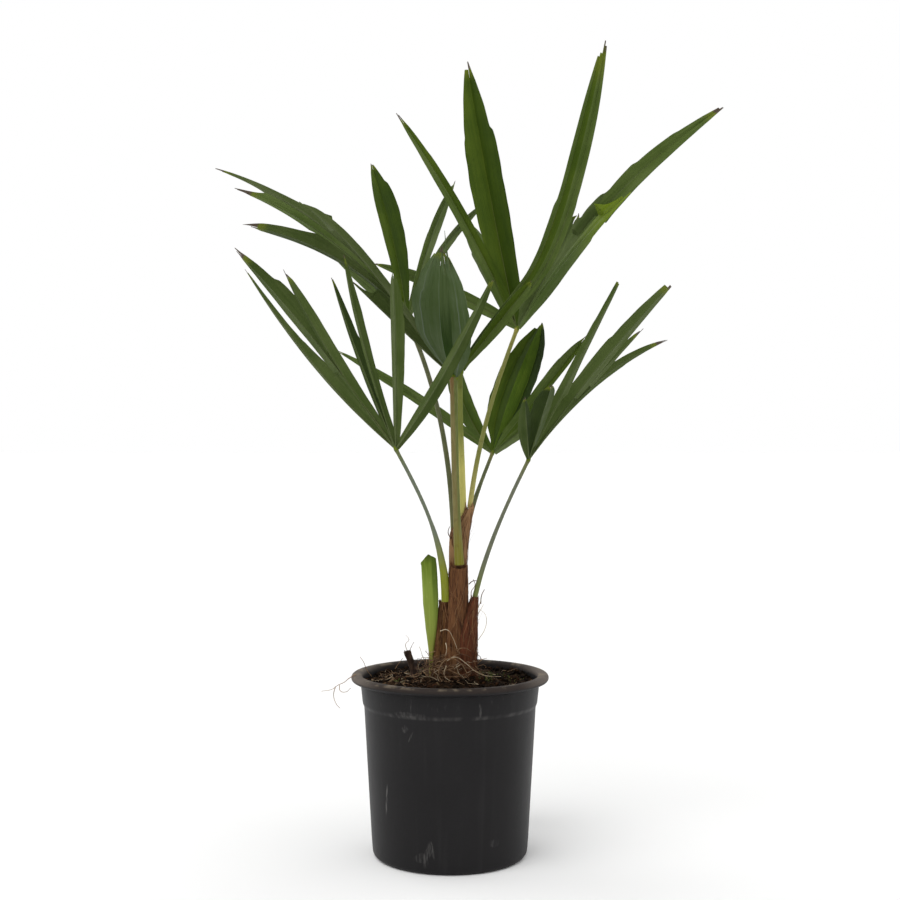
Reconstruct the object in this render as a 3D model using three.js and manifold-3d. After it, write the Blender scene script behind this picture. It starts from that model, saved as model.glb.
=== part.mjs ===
// Windmill palm in a black nursery pot. Millimetres, +Z up, the front faces -Y.
// The origin is the centre of the pot's flat underside, which stands on the floor.
import * as THREE from "three";
import { mergeVertices } from "three/addons/utils/BufferGeometryUtils.js";
import Module from "manifold-3d";

const wasm = await Module();
wasm.setup();

// Gap that flat neighbours keep, how far a sloping one is set back for the same gap, and the
// size of the slivers that a join or cut may leave
const clearance = 0.3;
const fit = 0.5;
const sliver = 0.03;

// Colours, roughness and metalness of the finishes
const finishes = {
  pot: { color: 0x262425, roughness: 0.5, metalness: 0 },
  soil: { color: 0x2b2019, roughness: 0.95, metalness: 0 },
  fibre: { color: 0x5f3d29, roughness: 0.9, metalness: 0 },
  cutBase: { color: 0x7d9a3c, roughness: 0.55, metalness: 0 },
  stalk: { color: 0x6c7a48, roughness: 0.5, metalness: 0 },
  leaf: { color: 0x3c5522, roughness: 0.45, metalness: 0 },
};

// Pot: a tapered wall, a collar above a soft step, and a rolled lip
const pot = {
  sides: 40,
  wall: 1.8,
  footRadius: 82.2,
  footRound: 6.5,
  wallTopRadius: 91.2,
  wallTop: 157,
  collarRadius: 93,
  collarBottom: 163,
  collarTopRadius: 95,
  collarTop: 183.5,
  lipRadius: 105,
  lipHeight: 7.5,
  mouthRadius: 93.2,
  height: 192,
  footSteps: 4,
  lipOuterSteps: 6,
  lipInnerSteps: 3,
};
const drains = { count: 8, radius: 5.5, depth: 7.2, ring: 62, sides: 14 };

// Soil: fills the pot, with a low mound under the palm
const soil = {
  edgeHeight: 182.5,
  edgeRound: 4,
  edgeSetBack: 1.4,
  slopeHeight: 183.5,
  moundHeight: 188,
  moundRadius: 34,
};

// Woody parts: ellipses stacked by height, with centre x, y and half widths rx, ry
const stackSides = 18;
const ground = soil.moundHeight + clearance;
const trunk = [
  { z: ground, x: 7, y: 3, rx: 21, ry: 19 },
  { z: 194.6, x: 7, y: 3, rx: 17.5, ry: 16 },
  { z: 212.6, x: 8, y: 3, rx: 13.5, ry: 13 },
  { z: 247.6, x: 9, y: 3, rx: 10.2, ry: 10.5 },
  { z: 297.6, x: 9, y: 2, rx: 9.3, ry: 9.5 },
  { z: 327.6, x: 9.7, y: 2, rx: 9.5, ry: 9 },
  { z: 342.6, x: 11.2, y: 2, rx: 9.5, ry: 9 },
  { z: 355.6, x: 16, y: 2, rx: 7, ry: 8.5 },
  { z: 366.6, x: 20.2, y: 2, rx: 4.4, ry: 7 },
];
const rightSheath = [
  { z: ground, x: 15.5, y: -4, rx: 13.5, ry: 14 },
  { z: 202.6, x: 17, y: -5, rx: 12, ry: 12.5 },
  { z: 219.6, x: 18, y: -5.5, rx: 11, ry: 12 },
  { z: 233.6, x: 18.7, y: -6, rx: 10.3, ry: 11 },
  { z: 248.6, x: 20.5, y: -6, rx: 8.5, ry: 9.5 },
  { z: 259.6, x: 23, y: -5.5, rx: 6, ry: 8 },
  { z: 273.1, x: 26.2, y: -5, rx: 3.2, ry: 5.5 },
];
const frontSheath = [
  { z: ground, x: 3, y: -8, rx: 17, ry: 12 },
  { z: 199.6, x: 4, y: -7, rx: 14.5, ry: 11 },
  { z: 227.6, x: 5.5, y: -6, rx: 11.5, ry: 9.5 },
  { z: 267.6, x: 8.3, y: -7, rx: 10.2, ry: 9 },
  { z: 295.6, x: 8.4, y: -8, rx: 9.8, ry: 8 },
  { z: 307.6, x: 8.8, y: -8.5, rx: 9, ry: 6.8 },
];
const leftSheath = [
  { z: ground, x: -9, y: -3, rx: 11, ry: 12 },
  { z: 212.6, x: -7, y: -3, rx: 9.5, ry: 10.5 },
  { z: 242.6, x: -5, y: -3, rx: 8, ry: 9 },
  { z: 268.6, x: -5.6, y: -4, rx: 5.4, ry: 6 },
];

// Cut leaf base: a flat strap that was cut across near its top, lower at its left corner
const cutBase = {
  foot: [-20.3, -3, ground],
  knee: [-17.6, -4, 252.6],
  top: [-23, -9, 319.1],
  widths: [4, 5.5, 12.4, 17, 17.4, 16.8],
  thickness: [3.5, 5, 5.5, 4.8, 4, 2.8],
  rows: 10,
  leftDrop: 9.5,
  rightDrop: 4,
  across: [1, -0.25, 0],
  outwards: [-0.25, -1, 0],
  section: [
    { x: -1, y: -0.2 },
    { x: -0.55, y: 0.8 },
    { x: 0, y: 1 },
    { x: 0.55, y: 0.8 },
    { x: 1, y: -0.2 },
    { x: 0.5, y: -0.5 },
    { x: -0.5, y: -0.5 },
  ],
};

// Fronds: a stalk leaves its foot on the trunk in one direction and arrives at the hub of its
// blade in another, with climb and approach as the lengths of the curve's two handles. It
// narrows from its foot's width to its hub's over that share of its length.
// Leaflets run from the hub: reach is the straight way to the tip, swing turns it from
// straight up towards +X, lean tips it to the front. Bow bends it sideways and droop lifts it
// over the straight way, most of all at the crook, a share of its reach. Joined is how far it
// is one with the next. It is widest at its peak, falls off to its tip and has the tip's width.
const stalk = { sides: 8, steps: 10, narrows: 0.62, flatness: 0.8 };
const fronds = {
  a: {
    stalk: { foot: [-6.1, -5.5, 269.2], climb: 70, approach: 62, footWidth: 8.8, hubWidth: 3.4 },
    narrows: 0.34,
    leaving: { swing: 0, lean: 6 },
    arriving: { swing: -27, lean: 28 },
    hub: [-55, -70, 430.6],
    faces: [-0.6, -0.72, -0.35],
    upperSide: -1,
    leaflets: [
      { reach: 254, swing: -40.3, lean: -12, width: 10, bow: -12, joined: 100, peak: 0.45 },
      { reach: 269, swing: -39, lean: -6, width: 25, bow: 5.5, joined: 125, peak: 0.62, fall: 1.5, tip: 3 },
      { reach: 211, swing: -32, lean: 2, width: 16, bow: -8, crook: 0.44, joined: 42, peak: 0.6, fall: 2.7 },
      { reach: 179, swing: -19.8, lean: 11, width: 13, bow: -3, joined: 55, peak: 0.45 },
      { reach: 205, swing: -14.4, lean: 19, width: 10, bow: -5, joined: 22, peak: 0.7, fall: 1.5 },
      { reach: 190, swing: 0.2, lean: 28, width: 15, bow: 2, crook: 0.6, joined: 14, peak: 0.6, fall: 4 },
      { reach: 231, swing: 31.2, lean: 39, width: 10, bow: 5, peak: 0.4, fall: 2.3, tip: 4 },
    ],
  },
  b: {
    stalk: { foot: [21, 2.5, 367.2], climb: 75, approach: 75, footWidth: 5.6, hubWidth: 4.4 },
    leaving: { swing: 4, lean: -6 },
    arriving: { swing: 21, lean: -20 },
    hub: [73.6, 45, 562.6],
    faces: [-0.25, -0.93, 0.25],
    upperSide: 1,
    leaflets: [
      { reach: 207, swing: -62.3, lean: -28, width: 14, bow: -2, droop: 8, joined: 25, peak: 0.38, fall: 3 },
      { reach: 297, swing: -27.9, lean: -14, width: 12, bow: 7, joined: 24, peak: 0.38 },
      { reach: 227, swing: -20, lean: -48, width: 19, joined: 24, peak: 0.7, fall: 3, tip: 1.7 },
      { reach: 330, swing: -9.9, lean: -14, width: 36.5, bow: -1, droop: -1.5, joined: 43, fall: 2.3 },
      { reach: 156, swing: 28, lean: -14, width: 22, bow: 1, joined: 128, peak: 0.7, fall: 4 },
      { reach: 225, swing: 36.2, lean: -8, width: 26, bow: 1, droop: 6, joined: 155, peak: 0.58, tip: 1.7 },
      { reach: 338, swing: 42.8, lean: -3, width: 20.5, droop: 20, joined: 150, peak: 0.52, tip: 2.5 },
      { reach: 191, swing: 39.6, lean: 5, width: 21, droop: 7, crook: 0.6, peak: 0.3, fall: 1.2, tip: 4.5 },
    ],
  },
  c: {
    stalk: { foot: [18.5, 7.5, 342.6], climb: 30, approach: 32, footWidth: 5, hubWidth: 3.8 },
    leaving: { swing: 10, lean: -20 },
    arriving: { swing: 22, lean: -32 },
    hub: [47, 60, 426.1],
    faces: [-0.35, -0.8, 0.45],
    upperSide: 1,
    leaflets: [
      { reach: 266, swing: -56.1, lean: -33, width: 11, droop: 5, joined: 24, peak: 0.33, fall: 2.3 },
      { reach: 165, swing: -21.7, lean: -42, width: 19, bow: -8, joined: 14, peak: 0.55, fall: 3, tip: 4 },
      { reach: 182, swing: 21.6, lean: -26, width: 48, bow: -2, joined: 27, peak: 0.4, fall: 3, folds: 2 },
      { reach: 171, swing: 38.2, lean: -8, width: 12, bow: 1, joined: 66, peak: 0.4, fall: 1.3 },
      { reach: 90, swing: 52, lean: -5, width: 16, peak: 0.6, fall: 5, tip: 10 },
    ],
  },
  d: {
    stalk: { foot: [26.5, -6, 273.6], climb: 50, approach: 60, footWidth: 5.6, hubWidth: 3.8 },
    leaving: { swing: 14, lean: 2 },
    arriving: { swing: 29, lean: 18 },
    hub: [81.2, -45, 419.6],
    faces: [0.45, -0.8, -0.35],
    upperSide: -1,
    leaflets: [
      { reach: 110, swing: -8.4, lean: 56, width: 18, joined: 15 },
      { reach: 112, swing: 13.5, lean: 48, width: 22, joined: 18, peak: 0.68, fall: 3 },
      { reach: 203, swing: 26.3, lean: 12, width: 6, crook: 0.6, joined: 68, peak: 0.3, tip: 4.5 },
      { reach: 225, swing: 39.6, lean: 2, width: 7, droop: 10.5, joined: 60, tip: 8 },
      { reach: 186, swing: 41.5, lean: -8, width: 12, bow: 3, droop: 6, joined: 100 },
      { reach: 204, swing: 49.8, lean: -14, width: 9, bow: 1, droop: 17, fall: 2.3 },
    ],
  },
  e: {
    stalk: { foot: [10, -11.5, 308.2], climb: 60, approach: 60, footWidth: 10, hubWidth: 6.8 },
    narrows: 0.3,
    leaving: { swing: -5, lean: 2 },
    arriving: { swing: -0.5, lean: 10 },
    hub: [3.6, -35, 506.1],
    faces: [-0.5, -0.58, -0.64],
    upperSide: -1,
    leaflets: [
      { reach: 278, swing: -53.9, lean: -6, width: 13, bow: 9.5, droop: 27.5, crook: 0.52, joined: 180, peak: 0.7 },
      { reach: 297, swing: -49.5, lean: 3, width: 23, droop: 25, crook: 0.6, joined: 250, peak: 0.57 },
      { reach: 321, swing: -49.5, lean: 7, width: 8, droop: 30, crook: 0.6, joined: 190, peak: 0.7 },
      { reach: 238, swing: -42, lean: 15, width: 15, droop: 12, crook: 0.66, joined: 17, peak: 0.7, fall: 3 },
      { reach: 168, swing: -5.6, lean: 45, width: 65, bow: -8, droop: -10, crook: 0.38, fall: 2.7, folds: 3 },
    ],
  },
  f: {
    stalk: { foot: [4, 6, 335.6], climb: 80, approach: 85, footWidth: 4.8, hubWidth: 3.4 },
    leaving: { swing: -2, lean: -3 },
    arriving: { swing: -22, lean: -12 },
    hub: [-45.8, 35, 569.3],
    faces: [0.35, -0.8, 0.45],
    upperSide: 1,
    leaflets: [
      { reach: 184, swing: -45.5, lean: -38, width: 25, joined: 30, peak: 0.4, fall: 1.5 },
      { reach: 216, swing: -13.3, lean: -24, width: 26, bow: 4, droop: 1.5, joined: 25, peak: 0.65 },
      { reach: 220, swing: 16.2, lean: -33, width: 11, bow: -5, joined: 25, peak: 0.62 },
      { reach: 196, swing: 30.3, lean: -30, width: 8, bow: -11, fall: 4 },
    ],
  },
  g: {
    stalk: { foot: [14, 1, 349.6], climb: 55, approach: 50, footWidth: 7, hubWidth: 5.4 },
    leaving: { swing: 0, lean: 0 },
    arriving: { swing: 2, lean: -3 },
    hub: [10.8, 4, 514.1],
    faces: [0.3, -0.95, 0],
    upperSide: 1,
    leaflets: [
      { reach: 380, swing: 23.4, lean: 3, width: 20, bow: 32, peak: 0.65, fall: 3.5, tip: 2, folds: 2 },
    ],
  },
};

// Leaflets: thin pleated blades, folded along the rib in the middle. Where two part, what each
// still has of their joined width is gone by the power of parting.
const leaflet = {
  start: 1.6,
  rows: [0, 0.06, 0.16, 0.3, 0.45, 0.6, 0.75, 0.89, 1],
  rootShare: 0.12,
  crook: 0.5,
  peak: 0.5,
  fall: 1.9,
  tip: 0.9,
  parting: 5,
  fold: 0.45,
  thickness: 0.012,
  edgeThickness: 0.6,
  tipThickness: 1.2,
  thinning: 3,
  overlap: 0.5,
};
const hubKnob = { radius: 3.4, sides: 6, rings: 3 };

// Solids

function solidOf(geometry) {
  const shape = geometry.clone();
  shape.deleteAttribute("normal");
  shape.deleteAttribute("uv");
  const merged = mergeVertices(shape, 1e-4);
  const vertProperties = Float32Array.from(merged.attributes.position.array);
  const triVerts = Uint32Array.from(merged.index.array);
  return new wasm.Manifold(new wasm.Mesh({ numProp: 3, vertProperties, triVerts }));
}

function geometryOf(solid) {
  const mesh = solid.getMesh();
  const geometry = new THREE.BufferGeometry();
  const positions = new Float32Array(mesh.numVert * 3);
  for (let i = 0; i < mesh.numVert; i++) {
    positions.set(mesh.vertProperties.subarray(i * mesh.numProp, i * mesh.numProp + 3), i * 3);
  }
  geometry.setAttribute("position", new THREE.BufferAttribute(positions, 3));
  geometry.setIndex(new THREE.BufferAttribute(mesh.triVerts, 1));
  geometry.computeVertexNormals();
  return geometry;
}

// The largest body of a solid, so that scraps and slivers left by a join or cut are dropped
function largestOf(solid) {
  const bodies = solid.simplify(sliver).decompose();
  return bodies.reduce((best, body) => (body.volume() > best.volume() ? body : best));
}

function joinAll(solids) {
  return solids.reduce((whole, solid) => whole.add(solid));
}

const vector = (point) => new THREE.Vector3(...point);

// A unit direction: swing turns it from straight up towards +X, lean tips it to the front
function direction({ swing, lean }) {
  const turned = THREE.MathUtils.degToRad(swing);
  const tipped = THREE.MathUtils.degToRad(lean);
  return new THREE.Vector3(
    Math.sin(turned) * Math.cos(tipped),
    -Math.sin(tipped),
    Math.cos(turned) * Math.cos(tipped),
  );
}

// A closed skin over rings of points, with a fan of triangles at each end
function loft(rings) {
  const sides = rings[0].length;
  const points = rings.flat();
  const faces = [];
  for (let row = 0; row + 1 < rings.length; row++) {
    for (let side = 0; side < sides; side++) {
      const a = row * sides + side;
      const b = row * sides + ((side + 1) % sides);
      faces.push(a, b, b + sides, a, b + sides, a + sides);
    }
  }
  const last = (rings.length - 1) * sides;
  for (let side = 1; side + 1 < sides; side++) {
    faces.push(0, side + 1, side);
    faces.push(last, last + side, last + side + 1);
  }
  const geometry = new THREE.BufferGeometry().setFromPoints(points);
  geometry.setIndex(faces);
  return solidOf(geometry);
}

// A closed slab between two grids of points: an upper and a lower surface with walls between
function slab(upper, lower) {
  const rows = upper.length;
  const columns = upper[0].length;
  const points = [...upper.flat(), ...lower.flat()];
  const top = (row, column) => row * columns + column;
  const bottom = (row, column) => rows * columns + top(row, column);
  const faces = [];
  const quad = (a, b, c, d) => faces.push(a, b, c, a, c, d);
  for (let row = 0; row + 1 < rows; row++) {
    for (let column = 0; column + 1 < columns; column++) {
      quad(top(row, column), top(row, column + 1), top(row + 1, column + 1), top(row + 1, column));
      quad(
        bottom(row, column),
        bottom(row + 1, column),
        bottom(row + 1, column + 1),
        bottom(row, column + 1),
      );
    }
    const end = columns - 1;
    quad(top(row, 0), top(row + 1, 0), bottom(row + 1, 0), bottom(row, 0));
    quad(top(row, end), bottom(row, end), bottom(row + 1, end), top(row + 1, end));
  }
  for (let column = 0; column + 1 < columns; column++) {
    const end = rows - 1;
    quad(top(0, column), bottom(0, column), bottom(0, column + 1), top(0, column + 1));
    quad(top(end, column), top(end, column + 1), bottom(end, column + 1), bottom(end, column));
  }
  const geometry = new THREE.BufferGeometry().setFromPoints(points);
  geometry.setIndex(faces);
  return solidOf(geometry);
}

// Points of an arc in a lathe's profile, from one angle to another in degrees
function arc(radius, height, round, from, to, steps) {
  return Array.from({ length: steps + 1 }, (_, step) => {
    const angle = THREE.MathUtils.degToRad(from + ((to - from) * step) / steps);
    return new THREE.Vector2(radius + round * Math.cos(angle), height + round * Math.sin(angle));
  });
}

// A lathe turns round Y, and the part stands along Z
function turned(profile, sides) {
  const geometry = new THREE.LatheGeometry(profile, sides);
  geometry.rotateX(Math.PI / 2);
  return solidOf(geometry);
}

// Pot and soil

function makePot() {
  const lipRound = pot.lipHeight / 2;
  const lipMiddle = pot.height - lipRound;
  const outside = [
    new THREE.Vector2(0, 0),
    ...arc(pot.footRadius - pot.footRound, pot.footRound, pot.footRound, -90, -4, pot.footSteps),
    new THREE.Vector2(pot.wallTopRadius, pot.wallTop),
    new THREE.Vector2(pot.collarRadius, pot.collarBottom),
    new THREE.Vector2(pot.collarTopRadius, pot.collarTop),
    ...arc(pot.lipRadius - lipRound, lipMiddle, lipRound, -80, 90, pot.lipOuterSteps),
  ];
  const inside = [
    ...arc(pot.mouthRadius + lipRound, lipMiddle, lipRound, 90, 180, pot.lipInnerSteps),
    new THREE.Vector2(pot.collarRadius - pot.wall, pot.collarBottom),
    new THREE.Vector2(pot.wallTopRadius - pot.wall, pot.wallTop),
    new THREE.Vector2(pot.footRadius - pot.wall, pot.footRound + pot.wall),
    new THREE.Vector2(pot.footRadius - pot.footRound, pot.wall),
    new THREE.Vector2(0, pot.wall),
  ];
  const body = turned([...outside, ...inside], pot.sides);
  const holes = Array.from({ length: drains.count }, (_, index) => {
    const angle = ((index + 0.5) / drains.count) * 2 * Math.PI;
    const hole = new THREE.CylinderGeometry(drains.radius, drains.radius, drains.depth, drains.sides);
    hole.rotateX(Math.PI / 2);
    hole.translate(drains.ring * Math.cos(angle), drains.ring * Math.sin(angle), 0);
    return solidOf(hole);
  });
  return body.subtract(joinAll(holes));
}

function makeSoil() {
  const inner = pot.wall + clearance;
  const edgeRadius = pot.mouthRadius - soil.edgeSetBack;
  const profile = [
    new THREE.Vector2(0, inner),
    new THREE.Vector2(pot.footRadius - pot.footRound - clearance, inner),
    new THREE.Vector2(pot.footRadius - pot.wall - fit, pot.footRound + inner),
    new THREE.Vector2(pot.wallTopRadius - pot.wall - fit, pot.wallTop),
    new THREE.Vector2(pot.collarRadius - pot.wall - fit, pot.collarBottom),
    new THREE.Vector2(edgeRadius, soil.edgeHeight - soil.edgeRound),
    new THREE.Vector2(edgeRadius - soil.edgeRound, soil.edgeHeight),
    new THREE.Vector2((edgeRadius + soil.moundRadius) / 2, soil.slopeHeight),
    new THREE.Vector2(soil.moundRadius, soil.moundHeight),
    new THREE.Vector2(0, soil.moundHeight),
  ];
  return turned(profile, pot.sides);
}

// Trunk, sheaths and cut base

function stack(levels, grow = 0) {
  const lastLevel = levels.length - 1;
  const rings = levels.map(({ z, x, y, rx, ry }, level) => {
    const lift = level === lastLevel ? grow : level === 0 ? -grow : 0;
    return Array.from({ length: stackSides }, (_, side) => {
      const angle = (side / stackSides) * 2 * Math.PI;
      return new THREE.Vector3(
        x + (rx + grow) * Math.cos(angle),
        y + (ry + grow) * Math.sin(angle),
        z + lift,
      );
    });
  });
  return loft(rings);
}

function makeSheath(levels, carriers) {
  const grown = joinAll(carriers.map((carrier) => stack(carrier, fit)));
  return largestOf(stack(levels).subtract(grown));
}

// A value read along a list that is spread evenly from 0 to 1
function along(list, share) {
  const place = share * (list.length - 1);
  const before = Math.min(Math.floor(place), list.length - 2);
  return THREE.MathUtils.lerp(list[before], list[before + 1], place - before);
}

function makeCutBase() {
  const spine = new THREE.QuadraticBezierCurve3(
    vector(cutBase.foot),
    vector(cutBase.knee),
    vector(cutBase.top),
  );
  const across = vector(cutBase.across).normalize();
  const outwards = vector(cutBase.outwards).normalize();
  const rings = Array.from({ length: cutBase.rows + 1 }, (_, row) => {
    const share = row / cutBase.rows;
    const middle = spine.getPoint(share);
    const halfWidth = along(cutBase.widths, share) / 2;
    const halfDepth = along(cutBase.thickness, share) / 2;
    return cutBase.section.map(({ x, y }) => {
      const corner = middle.clone();
      corner.addScaledVector(across, x * halfWidth).addScaledVector(outwards, y * halfDepth);
      if (row === cutBase.rows) corner.z -= x < 0 ? -x * cutBase.leftDrop : x * cutBase.rightDrop;
      return corner;
    });
  });
  const strap = loft(rings);
  const carriers = [trunk, frontSheath, leftSheath].map((carrier) => stack(carrier, fit));
  return largestOf(strap.subtract(joinAll(carriers)));
}

// Stalks

function stalkCurve(frond) {
  const { foot, climb, approach } = frond.stalk;
  const start = vector(foot);
  const end = vector(frond.hub);
  return new THREE.CubicBezierCurve3(
    start,
    start.clone().addScaledVector(direction(frond.leaving), climb),
    end.clone().addScaledVector(direction(frond.arriving), -approach),
    end,
  );
}

// The stalk stops short of the hub by the knob's radius, and grow fattens it on all sides
function stalkSolid(frond, grow = 0) {
  const curve = stalkCurve(frond);
  const reach = 1 - (hubKnob.radius - grow) / curve.getLength();
  const narrows = frond.narrows ?? stalk.narrows;
  const rings = Array.from({ length: stalk.steps + 1 }, (_, step) => {
    const share = (step / stalk.steps) * reach;
    const middle = curve.getPointAt(share);
    const along = curve.getTangentAt(share);
    const right = new THREE.Vector3(0, -1, 0).cross(along).normalize().negate();
    const front = along.clone().cross(right).negate();
    const width = THREE.MathUtils.lerp(
      frond.stalk.footWidth,
      frond.stalk.hubWidth,
      Math.min(1, share / narrows),
    );
    return Array.from({ length: stalk.sides }, (_, side) => {
      const angle = (side / stalk.sides) * 2 * Math.PI;
      return middle
        .clone()
        .addScaledVector(right, (width / 2 + grow) * Math.cos(angle))
        .addScaledVector(front, ((width / 2) * stalk.flatness + grow) * Math.sin(angle));
    });
  });
  const solid = loft(rings);
  return solid.volume() < 0 ? loft(rings.map((ring) => ring.reverse())) : solid;
}

function makeStalk(frond) {
  const carriers = [trunk, rightSheath, frontSheath, leftSheath];
  const woody = joinAll(carriers.map((carrier) => stack(carrier, fit)));
  return largestOf(stalkSolid(frond).subtract(woody));
}

// Blades

// The rib of one leaflet, with the directions across it and out of its face
function ribOf(frond, item) {
  const ahead = direction(item);
  const facing = vector(frond.faces);
  facing.addScaledVector(ahead, -facing.dot(ahead)).normalize();
  const across = ahead.clone().cross(facing);
  const hub = vector(frond.hub);
  const tip = hub.clone().addScaledVector(ahead, item.reach);
  const over = new THREE.Vector3(0, 0, 1);
  over.addScaledVector(ahead, -over.dot(ahead)).normalize();
  const bend = hub.clone().lerp(tip, item.crook ?? leaflet.crook);
  bend.addScaledVector(across, 2 * (item.bow ?? 0)).addScaledVector(over, 2 * (item.droop ?? 0));
  const curve = new THREE.QuadraticBezierCurve3(hub, bend, tip);
  return { curve, across, lift: facing.multiplyScalar(frond.upperSide) };
}

// Half the width of a leaflet that is free on that side
function freeHalf(item, share) {
  const peak = item.peak ?? leaflet.peak;
  const rise = Math.sin((Math.min(share / peak, 1) * Math.PI) / 2);
  const fall = 1 - Math.pow(Math.max(share - peak, 0) / (1 - peak), item.fall ?? leaflet.fall);
  const full = (leaflet.rootShare + (1 - leaflet.rootShare) * rise) * fall;
  return (item.width / 2) * full + (item.tip ?? leaflet.tip) / 2;
}

// The way from a rib to the leaflet's edge on one side, which is half the way to the
// neighbour's rib as far as the two are joined
function edgeOffset(frond, ribs, index, side, share) {
  const item = frond.leaflets[index];
  const rib = ribs[index];
  const neighbour = frond.leaflets[index + side];
  const joined = (side > 0 ? item.joined : neighbour?.joined) ?? 0;
  const distance = share * item.reach;
  const free = freeHalf(item, share);
  if (!neighbour || !joined) return rib.across.clone().multiplyScalar(side * free);
  const halfWayAt = (length) => {
    const here = rib.curve.getPoint(length / item.reach);
    const there = ribs[index + side].curve.getPoint(Math.min(1, length / neighbour.reach));
    return there.sub(here).multiplyScalar(0.5);
  };
  if (distance < joined) {
    const half = halfWayAt(distance);
    return half.setLength(half.length() + leaflet.overlap);
  }
  const half = halfWayAt(joined).length();
  const freeAtSplit = freeHalf(item, joined / item.reach);
  const onward = (distance - joined) / (item.reach - joined);
  const extra = (half - freeAtSplit) * Math.pow(1 - onward, leaflet.parting);
  return rib.across.clone().multiplyScalar(side * (free + extra));
}

function makeLeaflet(frond, ribs, index) {
  const item = frond.leaflets[index];
  const { curve, lift } = ribs[index];
  const folds = item.folds ?? 1;
  const thick = item.reach * leaflet.thickness;
  const upper = [];
  const lower = [];
  const start = leaflet.start / item.reach;
  for (const row of leaflet.rows) {
    const share = start + (1 - start) * row;
    const middle = curve.getPoint(share);
    const left = edgeOffset(frond, ribs, index, -1, share);
    const right = edgeOffset(frond, ribs, index, 1, share);
    const taper = 1 - Math.pow(share, leaflet.thinning);
    const points = Array.from({ length: 2 * folds + 1 }, (_, column) => {
      const place = column / folds - 1;
      const edge = place < 0 ? left : right;
      const crest = column % 2 === 0 ? (leaflet.fold * edge.length()) / folds : 0;
      const thin = Math.abs(place) === 1 ? leaflet.edgeThickness : 1;
      const depth = THREE.MathUtils.lerp(leaflet.tipThickness, thick, taper) * thin;
      const point = middle.clone().addScaledVector(edge, Math.abs(place));
      return { point: point.addScaledVector(lift, crest), depth };
    });
    upper.push(points.map(({ point, depth }) => point.clone().addScaledVector(lift, depth / 2)));
    lower.push(points.map(({ point, depth }) => point.clone().addScaledVector(lift, -depth / 2)));
  }
  return frond.upperSide > 0 ? slab(upper, lower) : slab(lower, upper);
}

function makeBlade(frond) {
  const ribs = frond.leaflets.map((item) => ribOf(frond, item));
  const leaflets = frond.leaflets.map((_, index) => makeLeaflet(frond, ribs, index));
  const knob = new THREE.SphereGeometry(hubKnob.radius, hubKnob.sides, hubKnob.rings);
  knob.translate(...frond.hub);
  const whole = joinAll([solidOf(knob), ...leaflets]);
  return largestOf(whole.subtract(stalkSolid(frond, fit)));
}

// The plant

const plant = new THREE.Group();

function addPiece(name, solid, finish) {
  const material = new THREE.MeshStandardMaterial(finish);
  const mesh = new THREE.Mesh(geometryOf(solid), material);
  mesh.name = name;
  plant.add(mesh);
}

addPiece("pot", makePot(), finishes.pot);
addPiece("soil", makeSoil(), finishes.soil);
addPiece("trunk", stack(trunk), finishes.fibre);
addPiece("right_sheath", makeSheath(rightSheath, [trunk]), finishes.fibre);
addPiece("front_sheath", makeSheath(frontSheath, [trunk, rightSheath]), finishes.fibre);
addPiece("left_sheath", makeSheath(leftSheath, [trunk, frontSheath]), finishes.fibre);
addPiece("cut_leaf_base", makeCutBase(), finishes.cutBase);
for (const [letter, frond] of Object.entries(fronds)) {
  addPiece("stalk_" + letter, makeStalk(frond), finishes.stalk);
  addPiece("blade_" + letter, makeBlade(frond), finishes.leaf);
}

export default plant;
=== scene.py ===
# Windmill palm in a black nursery pot, in metres, +Z up, with the front towards -Y
import math
import random

import bpy
from mathutils import Matrix, Vector, noise


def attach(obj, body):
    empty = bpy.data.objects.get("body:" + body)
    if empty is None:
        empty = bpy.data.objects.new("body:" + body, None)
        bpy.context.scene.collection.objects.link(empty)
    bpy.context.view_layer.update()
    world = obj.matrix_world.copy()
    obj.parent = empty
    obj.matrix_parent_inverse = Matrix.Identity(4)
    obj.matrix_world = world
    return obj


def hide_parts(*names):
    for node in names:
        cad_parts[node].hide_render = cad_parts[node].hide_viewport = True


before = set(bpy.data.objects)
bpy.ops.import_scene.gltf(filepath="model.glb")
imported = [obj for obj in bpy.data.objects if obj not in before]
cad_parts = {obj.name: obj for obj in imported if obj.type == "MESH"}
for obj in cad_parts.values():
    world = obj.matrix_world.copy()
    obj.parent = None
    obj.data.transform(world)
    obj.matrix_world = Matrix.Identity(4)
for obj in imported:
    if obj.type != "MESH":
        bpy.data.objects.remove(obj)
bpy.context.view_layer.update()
print("frame loaded:", len(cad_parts), "nodes")


# Camera and light

camera = {"place": (0, -1.471, 0.4296), "lens": 55.2, "sensor": 36, "reach": 1000}

bpy.ops.object.select_all(action="DESELECT")
bpy.ops.object.camera_add(location=camera["place"], rotation=(math.radians(90), 0, 0))
lensBody = bpy.context.active_object
lensBody.data.lens = camera["lens"]
lensBody.data.sensor_width = camera["sensor"]
lensBody.data.clip_end = camera["reach"]
bpy.context.scene.camera = lensBody
bpy.context.scene.view_settings.view_transform = "Standard"

# Each lamp shines from an azimuth (0 is the front, positive to the right) and an elevation
lamps = {
    "key": {"azimuth": -38, "elevation": 48, "strength": 1.5, "angle": 50},
    "fill": {"azimuth": 50, "elevation": 35, "strength": 0.7, "angle": 70},
    "leftRim": {"azimuth": -125, "elevation": 25, "strength": 0.9, "angle": 60},
    "rightRim": {"azimuth": 125, "elevation": 25, "strength": 0.5, "angle": 60},
}
studio = {"backdrop": 1.0, "front": 0.22, "back": 0.75, "floor": (0.93, 0.93, 0.925, 1), "floorSize": 400}


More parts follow.
